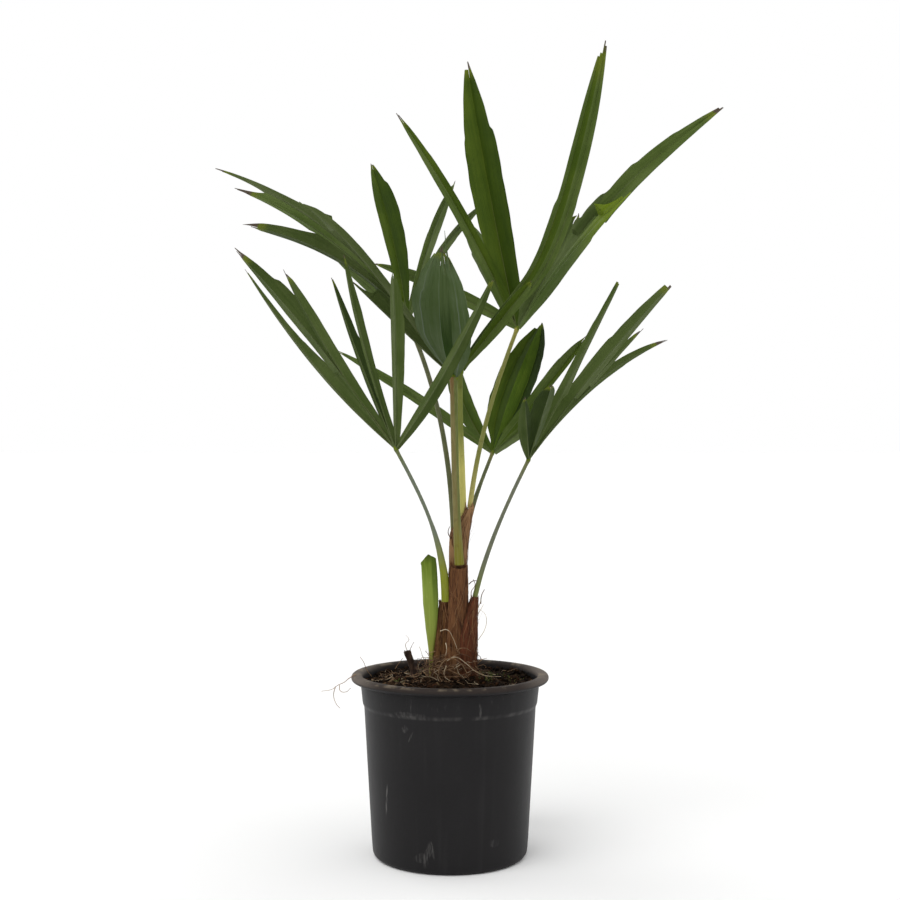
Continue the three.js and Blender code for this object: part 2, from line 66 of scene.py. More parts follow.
def hangLamp(name, lamp):
    turn, rise = math.radians(lamp["azimuth"]), math.radians(lamp["elevation"])
    level = math.cos(rise)
    towards = Vector((math.sin(turn) * level, -math.cos(turn) * level, math.sin(rise)))
    bpy.ops.object.light_add(type="SUN", location=towards * 3)
    light = bpy.context.active_object
    light.name = name
    light.rotation_euler = towards.to_track_quat("Z", "Y").to_euler()
    light.data.energy = lamp["strength"]
    light.data.angle = math.radians(lamp["angle"])


for lampName, lamp in lamps.items():
    hangLamp(lampName, lamp)


# Shader wiring

class Wire:
    # A socket's output, so that values can be summed in plain expressions
    def __init__(self, board, socket):
        self.board = board
        self.socket = socket

    def maths(self, operation, first, second=0.0):
        return self.board.node("ShaderNodeMath", {"operation": operation}, {0: first, 1: second})

    def __add__(self, other):
        return self.maths("ADD", self, other)

    def __sub__(self, other):
        return self.maths("SUBTRACT", self, other)

    def __rsub__(self, other):
        return self.maths("SUBTRACT", other, self)

    def __mul__(self, other):
        return self.maths("MULTIPLY", self, other)

    def __truediv__(self, other):
        return self.maths("DIVIDE", self, other)

    def __pow__(self, other):
        return self.maths("POWER", self, other)

    __radd__ = __add__
    __rmul__ = __mul__

    def sine(self):
        return self.maths("SINE", self)

    def between(self, low, high):
        # 0 at the low value, 1 at the high one, and smooth in the middle
        settings = {"interpolation_type": "SMOOTHSTEP"}
        return self.board.node("ShaderNodeMapRange", settings, {0: self, 1: low, 2: high, 3: 0.0, 4: 1.0})


class Board:
    # The node tree of a finish or of the studio's world
    def __init__(self, tree):
        self.tree = tree

    def node(self, kind, settings=None, sockets=None, output=0):
        made = self.tree.nodes.new(kind)
        for name, value in (settings or {}).items():
            if name == "stops":
                self.layStops(made.color_ramp, value)
            else:
                setattr(made, name, value)
        for name, value in (sockets or {}).items():
            self.feed(made.inputs[name], value)
        return Wire(self, made.outputs[output])

    def layStops(self, ramp, stops):
        while len(ramp.elements) < len(stops):
            ramp.elements.new(1.0)
        for element, (place, colour) in zip(ramp.elements, stops):
            element.position = place
            element.color = shade(*colour)

    def feed(self, socket, value):
        if isinstance(value, Wire):
            self.tree.links.new(value.socket, socket)
        else:
            socket.default_value = value

    def coordinates(self, kind="Object"):
        output = {"Object": 3, "UV": 2, "Generated": 0}[kind]
        return self.node("ShaderNodeTexCoord", output=output)

    def axis(self, vector, letter):
        return self.node("ShaderNodeSeparateXYZ", {}, {0: vector}, "XYZ".index(letter))

    def stretch(self, vector, scale):
        return self.node("ShaderNodeMapping", {}, {0: vector, 3: scale})

    def noise(self, place, scale, detail, roughness=0.5):
        sockets = {"Vector": place, "Scale": scale, "Detail": detail, "Roughness": roughness}
        return self.node("ShaderNodeTexNoise", {}, sockets)

    def grain(self, scale, detail=3.0, stretch=(1, 1, 1)):
        # Noise from 0 to 1, with stretch as how often it repeats along each axis
        return self.noise(self.stretch(self.coordinates(), stretch), scale, detail, 0.55)

    def combine(self, first, second):
        return self.node("ShaderNodeVectorMath", {"operation": "ADD"}, {0: first, 1: second})

    def mix(self, share, first, second):
        # Two colours, each a link or a screen colour from 0 to 255
        first, second = [end if isinstance(end, Wire) else shade(*end) for end in (first, second)]
        return self.node("ShaderNodeMix", {"data_type": "RGBA"}, {0: share, 6: first, 7: second}, 2)

    def coats(self, colour, *coats):
        # Colours laid over one another, each with the mask that it shows by
        for mask, coat in coats:
            colour = self.mix(mask, colour, coat)
        return colour

    def ramp(self, share, *stops):
        return self.node("ShaderNodeValToRGB", {"stops": stops}, {0: share})


def shade(*screen):
    # A screen colour from 0 to 255 as the shader's linear colour
    linear = [((value / 255 + 0.055) / 1.055) ** 2.4 if value > 10 else value / 3295 for value in screen]
    return (*linear, 1)


class Finish(Board):
    def __init__(self, name, specular=0.5):
        self.material = bpy.data.materials.new(name)
        self.material.use_nodes = True
        super().__init__(self.material.node_tree)
        self.shader = self.tree.nodes["Principled BSDF"]
        self.set("Specular IOR Level", specular)

    def set(self, name, value):
        self.feed(self.shader.inputs[name], value)

    def done(self, colour, roughness, relief=None, depth=0.0):
        # Sets what may vary over the surface, and gives the material
        self.set("Base Color", colour)
        self.set("Roughness", roughness)
        if relief:
            self.set("Normal", self.node("ShaderNodeBump", {}, {"Distance": depth, "Height": relief}))
        return self.material


def twoTone(name, dark, light, grain, roughness, specular, span=None, relief=None):
    # A dark and a light colour mixed by noise, and a relief as its own noise and depth
    finish = Finish(name, specular)
    share = finish.grain(*grain)
    colour = finish.mix(share.between(*span) if span else share, dark, light)
    if not relief:
        return finish.done(colour, roughness)
    reliefGrain, depth = relief
    return finish.done(colour, roughness, finish.grain(*reliefGrain), depth)


# White studio that reflects darker from the front than from the back
def lightStudio():
    world = bpy.data.worlds.new("studio")
    bpy.context.scene.world = world
    world.use_nodes = True
    board = Board(world.node_tree)
    white = (1, 1, 1, 1)
    behind = board.axis(board.coordinates("Generated"), "Y") * 0.5 + 0.5
    strength = behind * (studio["back"] - studio["front"]) + studio["front"]
    light = board.node("ShaderNodeBackground", {}, {"Color": white, "Strength": strength})
    seen = board.node("ShaderNodeBackground", {}, {"Color": white, "Strength": studio["backdrop"]})
    mixed = board.node("ShaderNodeMixShader", {}, {0: board.node("ShaderNodeLightPath"), 1: light, 2: seen})
    board.feed(world.node_tree.nodes["World Output"].inputs["Surface"], mixed)


def layFloor():
    bpy.ops.mesh.primitive_plane_add(size=studio["floorSize"])
    floor = bpy.context.active_object
    floor.name = "floor"
    floor.data.materials.append(Finish("paleFloor", specular=0.1).done(studio["floor"], 0.9))


lightStudio()
layFloor()
print("camera, lamps and floor placed")


# Modelling helpers

weldGap = 0.000002
mm = 0.001


def deselectAll():
    bpy.ops.object.select_all(action="DESELECT")


def pickOnly(piece):
    deselectAll()
    piece.select_set(True)
    bpy.context.view_layer.objects.active = piece


def named(piece, name):
    piece.name = name
    piece.data.name = name
    return piece


def applyModifiers(piece):
    pickOnly(piece)
    for modifier in list(piece.modifiers):
        bpy.ops.object.modifier_apply(modifier=modifier.name)


def joinPieces(name, pieces):
    pickOnly(pieces[0])
    for piece in pieces:
        piece.select_set(True)
    if len(pieces) > 1:
        bpy.ops.object.join()
    return named(bpy.context.active_object, name)


def editAll(piece, change):
    pickOnly(piece)
    bpy.ops.object.mode_set(mode="EDIT")
    bpy.ops.mesh.select_all(action="SELECT")
    change()
    bpy.ops.object.mode_set(mode="OBJECT")


def weld(piece):
    editAll(piece, lambda: bpy.ops.mesh.remove_doubles(threshold=weldGap))


def closeEnds(piece):
    def close():
        bpy.ops.mesh.fill_holes(sides=0)
        bpy.ops.mesh.normals_make_consistent(inside=False)

    editAll(piece, close)


def paint(piece, *finishes):
    piece.data.materials.clear()
    for finish in finishes:
        piece.data.materials.append(finish)


def finishPiece(piece, nodes=(), smooth=40):
    pickOnly(piece)
    bpy.ops.object.transform_apply(location=True, rotation=True, scale=True)
    bpy.ops.object.shade_smooth_by_angle(angle=math.radians(smooth))
    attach(piece, "root")
    if nodes:
        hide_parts(*nodes)
    print("made", piece.name, len(piece.data.polygons), "faces")


# A grid primitive whose rows and columns are laid by a function of both
def layGrid(rows, columns, place, across=None):
    deselectAll()
    bpy.ops.mesh.primitive_grid_add(x_subdivisions=columns - 1, y_subdivisions=rows - 1, size=1)
    piece = bpy.context.active_object
    for index, vertex in enumerate(piece.data.vertices):
        vertex.co = place(index // columns, index % columns)
    if across:
        for loop, corner in zip(piece.data.loops, piece.data.uv_layers.active.data):
            corner.uv = across(loop.vertex_index // columns, loop.vertex_index % columns)
    return piece


# A tube: a grid wrapped round, welded along its seam and closed at both ends. Its place is a
# function of the row and of the angle round it
def wrapTube(name, rows, sides, place, finish):
    piece = layGrid(rows, sides + 1, lambda row, side: place(row, side % sides / sides * math.tau))
    weld(piece)
    closeEnds(piece)
    paint(piece, finish)
    return named(piece, name)


# A round body: a circle that is extruded and resized from one profile point to the next
def turnProfile(name, profile, sides):
    deselectAll()
    radius, height = profile[0]
    bpy.ops.mesh.primitive_circle_add(vertices=sides, radius=radius, location=(0, 0, height))
    bpy.ops.object.mode_set(mode="EDIT")
    bpy.ops.mesh.select_all(action="SELECT")
    for nextRadius, nextHeight in profile[1:]:
        bpy.ops.mesh.extrude_region_move(TRANSFORM_OT_translate={"value": (0, 0, nextHeight - height)})
        share = nextRadius / radius
        bpy.ops.transform.resize(value=(share, share, 1), center_override=(0, 0, nextHeight))
        radius, height = nextRadius, nextHeight
    bpy.ops.object.mode_set(mode="OBJECT")
    bpy.ops.object.transform_apply(location=True, rotation=True, scale=True)
    piece = named(bpy.context.active_object, name)
    closeEnds(piece)
    return piece


def arc(radius, height, turn, start, end, steps):
    angles = [math.radians(start + (end - start) * step / steps) for step in range(steps + 1)]
    return [(radius + turn * math.cos(angle), height + turn * math.sin(angle)) for angle in angles]


# A strand that thins towards its end by the share lost
def taper(points, thick, lost, finish=0):
    radii = [thick * (1 - lost * knot / len(points)) for knot in range(len(points))]
    return {"points": points, "radii": radii, "finish": finish}


# Strands drawn as bevelled curves and made one mesh; each has points, radii and a finish
def drawStrands(name, strands, finishes, smoothness=4, sides=1):
    deselectAll()
    bpy.ops.object.add(type="CURVE")
    curve = bpy.context.active_object.data
    curve.dimensions = "3D"
    curve.bevel_depth = 1.0
    curve.bevel_resolution = sides
    curve.resolution_u = smoothness
    curve.use_fill_caps = True
    for finish in finishes:
        curve.materials.append(finish)
    for strand in strands:
        spline = curve.splines.new("BEZIER")
        spline.bezier_points.add(len(strand["points"]) - 1)
        for knot, point, radius in zip(spline.bezier_points, strand["points"], strand["radii"]):
            knot.co = point
            knot.handle_left_type = "AUTO"
            knot.handle_right_type = "AUTO"
            knot.radius = radius
        spline.material_index = strand["finish"]
        spline.radius_interpolation = "CARDINAL"
    bpy.ops.object.convert(target="MESH")
    return named(bpy.context.active_object, name)


# One small shape copied to many places as one joined mesh
def scatter(name, shape, places, finishes):
    corners = [vertex.co.copy() for vertex in shape.data.vertices]
    polygons = [tuple(polygon.vertices) for polygon in shape.data.polygons]
    points, faces, picks = [], [], []
    for matrix, pick in places:
        first = len(points)
        points.extend(matrix @ corner for corner in corners)
        faces.extend(tuple(first + index for index in polygon) for polygon in polygons)
        picks.extend([pick] * len(polygons))
    mesh = bpy.data.meshes.new(name)
    mesh.from_pydata(points, [], faces)
    for finish in finishes:
        mesh.materials.append(finish)
    mesh.polygons.foreach_set("material_index", picks)
    mesh.update()
    piece = bpy.data.objects.new(name, mesh)
    bpy.context.collection.objects.link(piece)
    bpy.data.objects.remove(shape)
    return piece


def smoothStep(low, high, value):
    share = min(1, max(0, (value - low) / (high - low)))
    return share * share * (3 - 2 * share)


def blendValue(first, second, share):
    return first + (second - first) * share


# A value read along a list that is spread evenly from 0 to 1
def along(values, share):
    place = share * (len(values) - 1)
    before = min(int(place), len(values) - 2)
    return blendValue(values[before], values[before + 1], place - before)


# A point on the curve that leaves the first point towards the second and ends at the last
def bend(knots, share):
    line = [Vector(knot) for knot in knots]
    while len(line) > 1:
        line = [first.lerp(second, share) for first, second in zip(line, line[1:])]
    return line[0]

# Pot

pot = {
    "sides": 144,
    "wall": 0.0018,
    "footRadius": 0.0822,
    "footRound": 0.0065,
    "wallTopRadius": 0.0912,
    "wallTop": 0.157,
    "collarRadius": 0.093,
    "collarBottom": 0.163,
    "collarTopRadius": 0.095,
    "collarTop": 0.1835,
    "lipRadius": 0.105,
    "lipHeight": 0.0075,
    "mouthRadius": 0.0932,
    "height": 0.192,
    "drainCount": 8,
    "drainRadius": 0.0055,
    "drainRing": 0.062,
    "drainDepth": 0.02,
    "floorRing": 0.02,
}
# Heights between which each kind of wear comes on, and on the ledge where it ends; the lip's heights also
# bound the painted highlight at its sides
wear = {
    "hem": (0.0006, 0.003),
    "ledge": (0.1575, 0.1595),
    "ledgeEnd": (0.1605, 0.1635),
    "collar": (0.160, 0.168),
    "lip": (0.1845, 0.1895),
    "grit": (0.1895, 0.1915),
}
# Worn patches of the front: place across and up, half width and half height, how ragged the
# edge is, how far it slants, and how strong it is
scuffs = [
    (-0.044, 0.147, 0.0045, 0.005, 6, 0, 1.9),
    (-0.040, 0.140, 0.0014, 0.007, 3, 0.4, 1.6),
    (0.030, 0.168, 0.0018, 0.008, 3, 0, 1),
    (-0.065, 0.070, 0.0009, 0.017, 1.2, 0.04, 2.2),
    (-0.022, 0.022, 0.003, 0.015, 8, 0.2, 0.6),
    (-0.018, 0.027, 0.0012, 0.012, 7, -0.2, 0.8),
    (-0.030, 0.017, 0.008, 0.004, 9, 0, 0.4),
    (0.045, 0.031, 0.005, 0.004, 5, 0, 0.4),
    (-0.038, 0.163, 0.014, 0.003, 5, 0, 0.5),
]


def potFinish():
    finish = Finish("blackPlastic", specular=0.13)
    place = finish.coordinates()
    across, height = finish.axis(place, "X"), finish.axis(place, "Z")
    front = 1 - finish.axis(place, "Y").between(-0.02, 0.0)
    clouds = finish.grain(14, 4)
    streaks = finish.grain(70, 3, (1, 1, 0.05))
    smears = finish.grain(60, 5, (1, 1, 0.5))
    threads = finish.grain(420, 4, (1, 1, 0.12))
    scratched = front * threads.between(0.35, 0.7)
    worn = 0
    for x, z, wide, tall, ragged, slant, strength in scuffs:
        aside = (across - x - (height - z) * slant) / wide
        distance = aside ** 2.0 + ((height - z) / tall) ** 2.0
        patch = 1 - (distance + (smears - 0.5) * ragged).between(0.3, 1.3)
        worn = worn + patch * scratched * strength
    dust = height.between(*wear["lip"]) * (clouds * 0.8 + 0.45)
    dustAndHighlight = dust.between(0.1, 1.1)
    ledge = height.between(*wear["ledge"]) * (1 - height.between(*wear["ledgeEnd"]))
    ledge = ledge * streaks.between(0.42, 0.75)
    hem = (1 - height.between(*wear["hem"])) * smears.between(0.4, 0.7)
    marks = height.between(*wear["collar"]) * threads.between(0.6, 0.75) * clouds.between(0.35, 0.65)
    grit = height.between(*wear["grit"]) * smears.between(0.5, 0.62)
    colour = finish.coats(
        finish.mix(clouds, (24, 23, 24), (33, 32, 33)),
        (streaks.between(0.5, 0.85) * 0.22, (58, 57, 58)),
        (marks * 0.3, (96, 94, 92)),
        (ledge * 0.5 + hem * 0.35, (94, 92, 90)),
        (worn * 0.4, (112, 110, 108)),
        (dustAndHighlight * 0.7, (56, 46, 40)),
        # Painted highlight: paler at the left and right of the lip, where the rim lights catch it, laid over
        # the dust
        ((across * across).between(0.0045, 0.0095) * dustAndHighlight * 0.38, (140, 130, 120)),
        (grit * 0.5, (128, 116, 98)),
    )
    relief = finish.grain(900, 2) * 0.5 + clouds * 4 + streaks * 0.5
    return finish.done(colour, 0.4 + clouds * 0.14 + worn * 0.2 + dust * 0.25, relief, 0.0002)


# Radius and height of each ring, from the middle of the underside round the lip to the inside
def potProfile():
    lipTurn = pot["lipHeight"] / 2
    lipMiddle = pot["height"] - lipTurn
    inside = pot["wall"]
    profile = [(pot["floorRing"], 0)]
    profile += arc(pot["footRadius"] - pot["footRound"], pot["footRound"], pot["footRound"], -90, -3, 8)
    for share in (0.12, 0.3, 0.5, 0.7, 0.85, 0.96, 1):
        profile.append((blendValue(pot["footRadius"], pot["wallTopRadius"], share), pot["wallTop"] * share))
    for share in (0.2, 0.4, 0.6, 0.8, 1):
        radius = blendValue(pot["wallTopRadius"], pot["collarRadius"], smoothStep(0, 1, share))
        profile.append((radius, blendValue(pot["wallTop"], pot["collarBottom"], share)))
    profile.append((pot["collarTopRadius"], pot["collarTop"] - 0.0015))
    profile += arc(pot["lipRadius"] - lipTurn, lipMiddle, lipTurn, -84, 90, 14)
    profile += arc(pot["mouthRadius"] + lipTurn, lipMiddle, lipTurn, 90, 180, 8)
    return profile + [
        (pot["collarRadius"] - inside, pot["collarBottom"]),
        (pot["wallTopRadius"] - inside, pot["wallTop"]),
        (pot["footRadius"] - inside, pot["footRound"] + inside),
        (pot["footRadius"] - pot["footRound"], inside),
        (pot["floorRing"], inside),
    ]


def makePot():
    piece = turnProfile("nurseryPot", potProfile(), pot["sides"])
    cutters = []
    radius, depth, ring = pot["drainRadius"], pot["drainDepth"], pot["drainRing"]
    for index in range(pot["drainCount"]):
        angle = (index + 0.5) / pot["drainCount"] * math.tau
        place = (ring * math.cos(angle), ring * math.sin(angle), 0)
        bpy.ops.mesh.primitive_cylinder_add(vertices=32, radius=radius, depth=depth, location=place)
        cutters.append(bpy.context.active_object)
    cutter = joinPieces("drainCutter", cutters)
    holes = piece.modifiers.new("drains", "BOOLEAN")
    holes.operation = "DIFFERENCE"
    holes.object = cutter
    applyModifiers(piece)
    bpy.data.objects.remove(cutter)
    paint(piece, potFinish())
    finishPiece(piece, ["pot"], smooth=35)


makePot()


# Soil, with crumbs, moss, fine roots and a dead twig

soil = {
    "sides": 180,
    "rings": 80,
    "edgeHeight": 0.182,
    "moundHeight": 0.1875,
    "moundRadius": 0.034,
    "moundEdge": 0.070,
    "backRise": 0.0035,
    "lumpSize": 0.022,
    "lumpHeight": 0.003,
    "grainSize": 0.0035,
    "grainHeight": 0.001,
    "gap": 0.0005,
    "floorGap": 0.0003,
    "edgeSetBack": 0.0014,
}
crumbs = {
    "count": 2600,
    "reach": pot["mouthRadius"] - 0.004,
    "smallest": 0.0005,
    "growth": 0.003,
    "finishes": [
        ("crumbDark", (8, 5, 3), (26, 17, 10)),
        ("crumbBrown", (24, 16, 10), (54, 38, 24)),
        ("crumbReddish", (34, 20, 12), (62, 40, 25)),
        ("crumbPale", (72, 58, 40), (112, 94, 70)),
    ],
    "shares": [9, 4, 2, 0.3],
    "seed": 11,
}
# The moss grows in patches, each with its middle and spread
moss = {
    "count": 2100,
    "patches": [
        (0.040, 0.010, 0.014), (0.048, 0.026, 0.016), (0.036, -0.012, 0.009), (0.060, 0.010, 0.012),
        (-0.035, 0.018, 0.010), (-0.056, -0.012, 0.009), (0.014, 0.050, 0.018), (-0.030, 0.052, 0.014),
    ],
    "size": (0.0006, 0.0014),
    "lean": 0.9,
    "finishes": [
        ("mossGreen", (62, 74, 26), (96, 108, 44)),
        ("mossDark", (38, 46, 18), (62, 70, 30)),
        ("mossBrown", (70, 58, 32), (108, 92, 56)),
    ],
    "seed": 12,
}
rootlets = {
    "count": 110,
    "reach": 0.084,
    "leftPatch": ((-0.084, -0.040), (-0.020, 0.030)),
    "stop": 0.088,
    "step": 0.006,
    "thick": (0.00012, 0.00032),
    "lift": (0.0003, 0.0035),
    "seed": 13,
}
twig = {
    "knots": ((-0.036, 0.010, 0.179), (-0.0385, 0.009, 0.197), (-0.0465, 0.007, 0.2141)),
    "sides": 24,
    "rows": 34,
    "footRadius": 0.0046,
    "narrows": 0.0016,
    "knobs": 0.0005,
    "ragged": 0.003,
}


def soilHeight(x, y):
    mound = 1 - smoothStep(soil["moundRadius"], soil["moundEdge"], math.hypot(x, y))
    lumps = noise.fractal(Vector((x, y, 0.3)) / soil["lumpSize"], 0.8, 2.1, 4)
    grains = noise.noise(Vector((x, y, 0.9)) / soil["grainSize"])
    level = blendValue(soil["edgeHeight"], soil["moundHeight"], mound)
    level += soil["backRise"] * smoothStep(0.0, 0.07, y)
    return level + soil["lumpHeight"] * lumps + soil["grainHeight"] * grains


def soilFinish(name, dark, light, scale=500):
    finish = Finish(name, specular=0.04)
    clods = finish.grain(scale, 5)
    colour = finish.mix((clods * 0.7 + finish.grain(30, 3) * 0.4).between(0.3, 0.85), dark, light)
    return finish.done(colour, 0.75 + clods * 0.25, clods, 0.0012)


def makeSoil():
    inner = pot["wall"] + soil["floorGap"]
    setBack = pot["wall"] + soil["gap"]
    edge = pot["mouthRadius"] - soil["edgeSetBack"]
    profile = [
        (pot["floorRing"], inner),
        (pot["footRadius"] - pot["footRound"] - soil["floorGap"], inner),
        (pot["footRadius"] - setBack, pot["footRound"] + inner),
        (pot["wallTopRadius"] - setBack, pot["wallTop"]),
        (pot["collarRadius"] - setBack, pot["collarBottom"]),
        (edge, soil["edgeHeight"] - 0.003),
    ]
    for ring in range(soil["rings"] + 1):
        profile.append((blendValue(edge - 0.0008, 0.001, ring / soil["rings"]), soil["edgeHeight"]))
    piece = turnProfile("pottingSoil", profile, soil["sides"])
    for vertex in piece.data.vertices:
        if vertex.co.z > soil["edgeHeight"] - 0.001:
            vertex.co.z = soilHeight(vertex.co.x, vertex.co.y)
    paint(piece, soilFinish("pottingSoil", (10, 7, 4), (40, 28, 18), 240))
    finishPiece(piece, ["soil"], smooth=70)


def randomSpot(dice, reach):
    radius = reach * math.sqrt(dice.random())
    angle = dice.uniform(0, math.tau)
    return radius * math.cos(angle), radius * math.sin(angle)


def turnedScale(dice, size, flatness):
    turn = Matrix.Rotation(dice.uniform(0, math.tau), 4, "Z") @ Matrix.Rotation(dice.uniform(-1, 1), 4, "X")
    across, depth = size * dice.uniform(0.6, 1.5), size * dice.uniform(0.6, 1.3)
    return turn @ Matrix.Diagonal((across, depth, size * flatness, 1))


def makeCrumbs():
    dice = random.Random(crumbs["seed"])
    bpy.ops.mesh.primitive_ico_sphere_add(subdivisions=1, radius=1)
    shape = bpy.context.active_object
    for vertex in shape.data.vertices:
        vertex.co *= dice.uniform(0.7, 1.25)
    places = []
    for _ in range(crumbs["count"]):
        x, y = randomSpot(dice, crumbs["reach"])
        size = crumbs["smallest"] + crumbs["growth"] * dice.random() ** 3
        place = Matrix.Translation((x, y, soilHeight(x, y) + size * 0.3))
        pick = dice.choices([0, 1, 2, 3], crumbs["shares"])[0]
        places.append((place @ turnedScale(dice, size, 0.8), pick))
    finishes = [soilFinish(*finish) for finish in crumbs["finishes"]]
    finishPiece(scatter("soilCrumbs", shape, places, finishes), smooth=50)


def makeMoss():
    dice = random.Random(moss["seed"])
    bpy.ops.mesh.primitive_cone_add(vertices=5, radius1=0.35, radius2=0.05, depth=2, location=(0, 0, 1))
    shape = bpy.context.active_object
    bpy.ops.object.transform_apply(location=True, rotation=False, scale=False)
    places = []
    for _ in range(moss["count"]):
        middleX, middleY, spread = dice.choice(moss["patches"])
        x = middleX + dice.gauss(0, spread * 0.5)
        y = middleY + dice.gauss(0, spread * 0.5)
        size = dice.uniform(*moss["size"])
        leans = [Matrix.Rotation(dice.uniform(-moss["lean"], moss["lean"]), 4, axis) for axis in "XY"]
        place = Matrix.Translation((x, y, soilHeight(x, y) - size * 0.3))
        stretch = Matrix.Diagonal((size, size, size, 1))
        places.append((place @ (leans[0] @ leans[1]) @ stretch, dice.choice([0, 0, 1, 2])))
    finishes = [twoTone(*finish, (400, 2), 0.8, 0.3) for finish in moss["finishes"]]
    finishPiece(scatter("mossTufts", shape, places, finishes), smooth=40)


rootFinishes = [
    twoTone(name, dark, light, (160, 4), 0.7, 0.3, span=(0.3, 0.7), relief=((1500, 3), 0.0002))
    for name, dark, light in (
        ("rootPale", (150, 128, 100), (204, 188, 160)),
        ("rootTan", (112, 84, 58), (160, 130, 96)),
        ("rootBrown", (64, 44, 30), (104, 76, 52)),
    )
]


def makeRootlets():
    dice = random.Random(rootlets["seed"])
    strands = []
    for index in range(rootlets["count"]):
        x, y = randomSpot(dice, rootlets["reach"])
        if index % 2:
            # Half of them lie tangled at the left
            x, y = [dice.uniform(*span) for span in rootlets["leftPatch"]]
        heading = dice.uniform(0, math.tau)
        thick = dice.uniform(*rootlets["thick"])
        lift = dice.uniform(*rootlets["lift"])
        points = []
        knots = dice.randint(5, 9)
        for knot in range(knots):
            if math.hypot(x, y) > rootlets["stop"]:
                break
            hump = math.sin(math.pi * knot / (knots - 1)) * lift
            points.append((x, y, soilHeight(x, y) + thick + hump))
            heading += dice.gauss(0, 0.7)
            x += rootlets["step"] * math.cos(heading)
            y += rootlets["step"] * math.sin(heading)
        if len(points) > 2:
            strands.append(taper(points, thick, 0.7, dice.choices([0, 1, 2], [2, 3, 3])[0]))
    finishPiece(drawStrands("soilRootlets", strands, rootFinishes, 3), smooth=60)


def makeTwig():
    def place(row, angle):
        share = row / (twig["rows"] - 1)
        across, depth = math.cos(angle), math.sin(angle)
        girth = twig["footRadius"] - twig["narrows"] * share + twig["knobs"] * math.sin(share * 9)
        point = Vector((across, depth, 0.35 * across)) * girth
        point *= 1 + 0.3 * noise.noise(Vector((across * 1.4, depth * 1.4, share * 4)))
        ragged = twig["ragged"] * noise.noise(Vector((across * 2.2, depth * 2.2, 7)))
        return bend(twig["knots"], share) + point + Vector((0, 0, ragged * smoothStep(0.85, 1, share)))

    grain = (220, 4, (1, 1, 0.25))
    finish = twoTone("deadTwig", (38, 26, 20), (84, 64, 50), grain, 0.85, 0.2, (0.35, 0.75), (grain, 0.0012))
    piece = wrapTube("twigStump", twig["rows"], twig["sides"], place, finish)
    finishPiece(piece, smooth=45)


makeSoil()
makeCrumbs()
makeMoss()
makeRootlets()
makeTwig()


# Trunk and sheaths. Levels are ellipses: height, x, y, half width and half depth. The rim stands
# higher by right and front on those sides, with torn teeth as high as ragged. The wrapped edge
# winds round from start by pitch, and relief is how rough the skin is above the net of fibres.
# Fibres have a dark, a middle and a light colour, and may have a smooth skin: from, to, colour.

ground = 0.1883
wood = {
    "palmTrunk": {
        "node": "trunk", "right": 0.002, "front": 0.001, "ragged": 0.007, "pitch": 9, "start": 0.1,
        "seed": 1.7, "relief": 1,
        "fibres": ("trunkFibre", (52, 28, 14), (92, 53, 29), (128, 84, 52), (0.296, 0.322, (160, 126, 90))),
        "levels": [
            (ground, 0.007, 0.003, 0.021, 0.019),
            (0.1946, 0.007, 0.003, 0.0175, 0.016),
            (0.2126, 0.008, 0.003, 0.0135, 0.013),
            (0.2476, 0.009, 0.003, 0.0102, 0.0105),
            (0.2976, 0.009, 0.002, 0.0093, 0.0095),
            (0.3276, 0.0097, 0.002, 0.0095, 0.009),
            (0.3426, 0.0112, 0.002, 0.0095, 0.009),
            (0.3556, 0.016, 0.002, 0.007, 0.0085),
            (0.3666, 0.0202, 0.002, 0.0044, 0.007),
        ],
    },
    "rightLeafSheath": {
        "node": "right_sheath", "right": 0.0, "front": 0.0, "ragged": 0.003, "pitch": 3, "start": 0.2,
        "seed": 4.1, "relief": 0.5,
        "fibres": ("redFibre", (60, 31, 17), (96, 55, 33), (128, 80, 54), (0.200, 0.222, (100, 56, 38))),
        "levels": [
            (ground, 0.0155, -0.004, 0.0135, 0.014),
            (0.2026, 0.017, -0.005, 0.012, 0.0125),
            (0.2196, 0.018, -0.0055, 0.011, 0.012),
            (0.2336, 0.0187, -0.006, 0.0103, 0.011),
            (0.2486, 0.0205, -0.006, 0.0085, 0.0095),
            (0.2596, 0.023, -0.0055, 0.006, 0.008),
            (0.2731, 0.0262, -0.005, 0.0032, 0.0055),
        ],
    },
    "frontLeafSheath": {
        "node": "front_sheath", "right": -0.001, "front": -0.0035, "ragged": 0.0012, "pitch": -2,
        "start": 0.4, "seed": 8.3, "relief": 0.35,
        "fibres": ("frontFibre", (60, 36, 19), (102, 66, 39), (146, 106, 72), (0.222, 0.250, (108, 73, 47))),
        "levels": [
            (ground, 0.003, -0.008, 0.017, 0.012),
            (0.1996, 0.004, -0.007, 0.0145, 0.011),
            (0.2276, 0.0055, -0.006, 0.0115, 0.0095),
            (0.2676, 0.0083, -0.007, 0.0102, 0.009),
            (0.2956, 0.0084, -0.008, 0.0098, 0.008),
            (0.3076, 0.0088, -0.0085, 0.009, 0.0068),
        ],
    },
    "leftLeafSheath": {
        "node": "left_sheath", "right": 0.001, "front": 0.0, "ragged": 0.004, "pitch": 4, "start": 0.2,
        "seed": 12.9, "relief": 1,
        "fibres": ("leftFibre", (48, 28, 14), (86, 54, 30), (118, 84, 50)),
        "levels": [
            (ground, -0.009, -0.003, 0.011, 0.012),
            (0.2126, -0.007, -0.003, 0.0095, 0.0105),
            (0.2426, -0.005, -0.003, 0.008, 0.009),
            (0.2686, -0.0056, -0.004, 0.0054, 0.006),
        ],
    },
}
bark = {
    "sides": 150,
    "rowStep": 0.0011,
    "bundle": 0.0022,
    "run": 0.035,
    "relief": 0.0008,
    "wrap": 0.0009,
    "insideRows": 5,
    "insideStep": 0.0014,
    "insideShrink": 0.085,
    "netFrom": 0.225,
    "footShade": (0.188, 0.222),
}


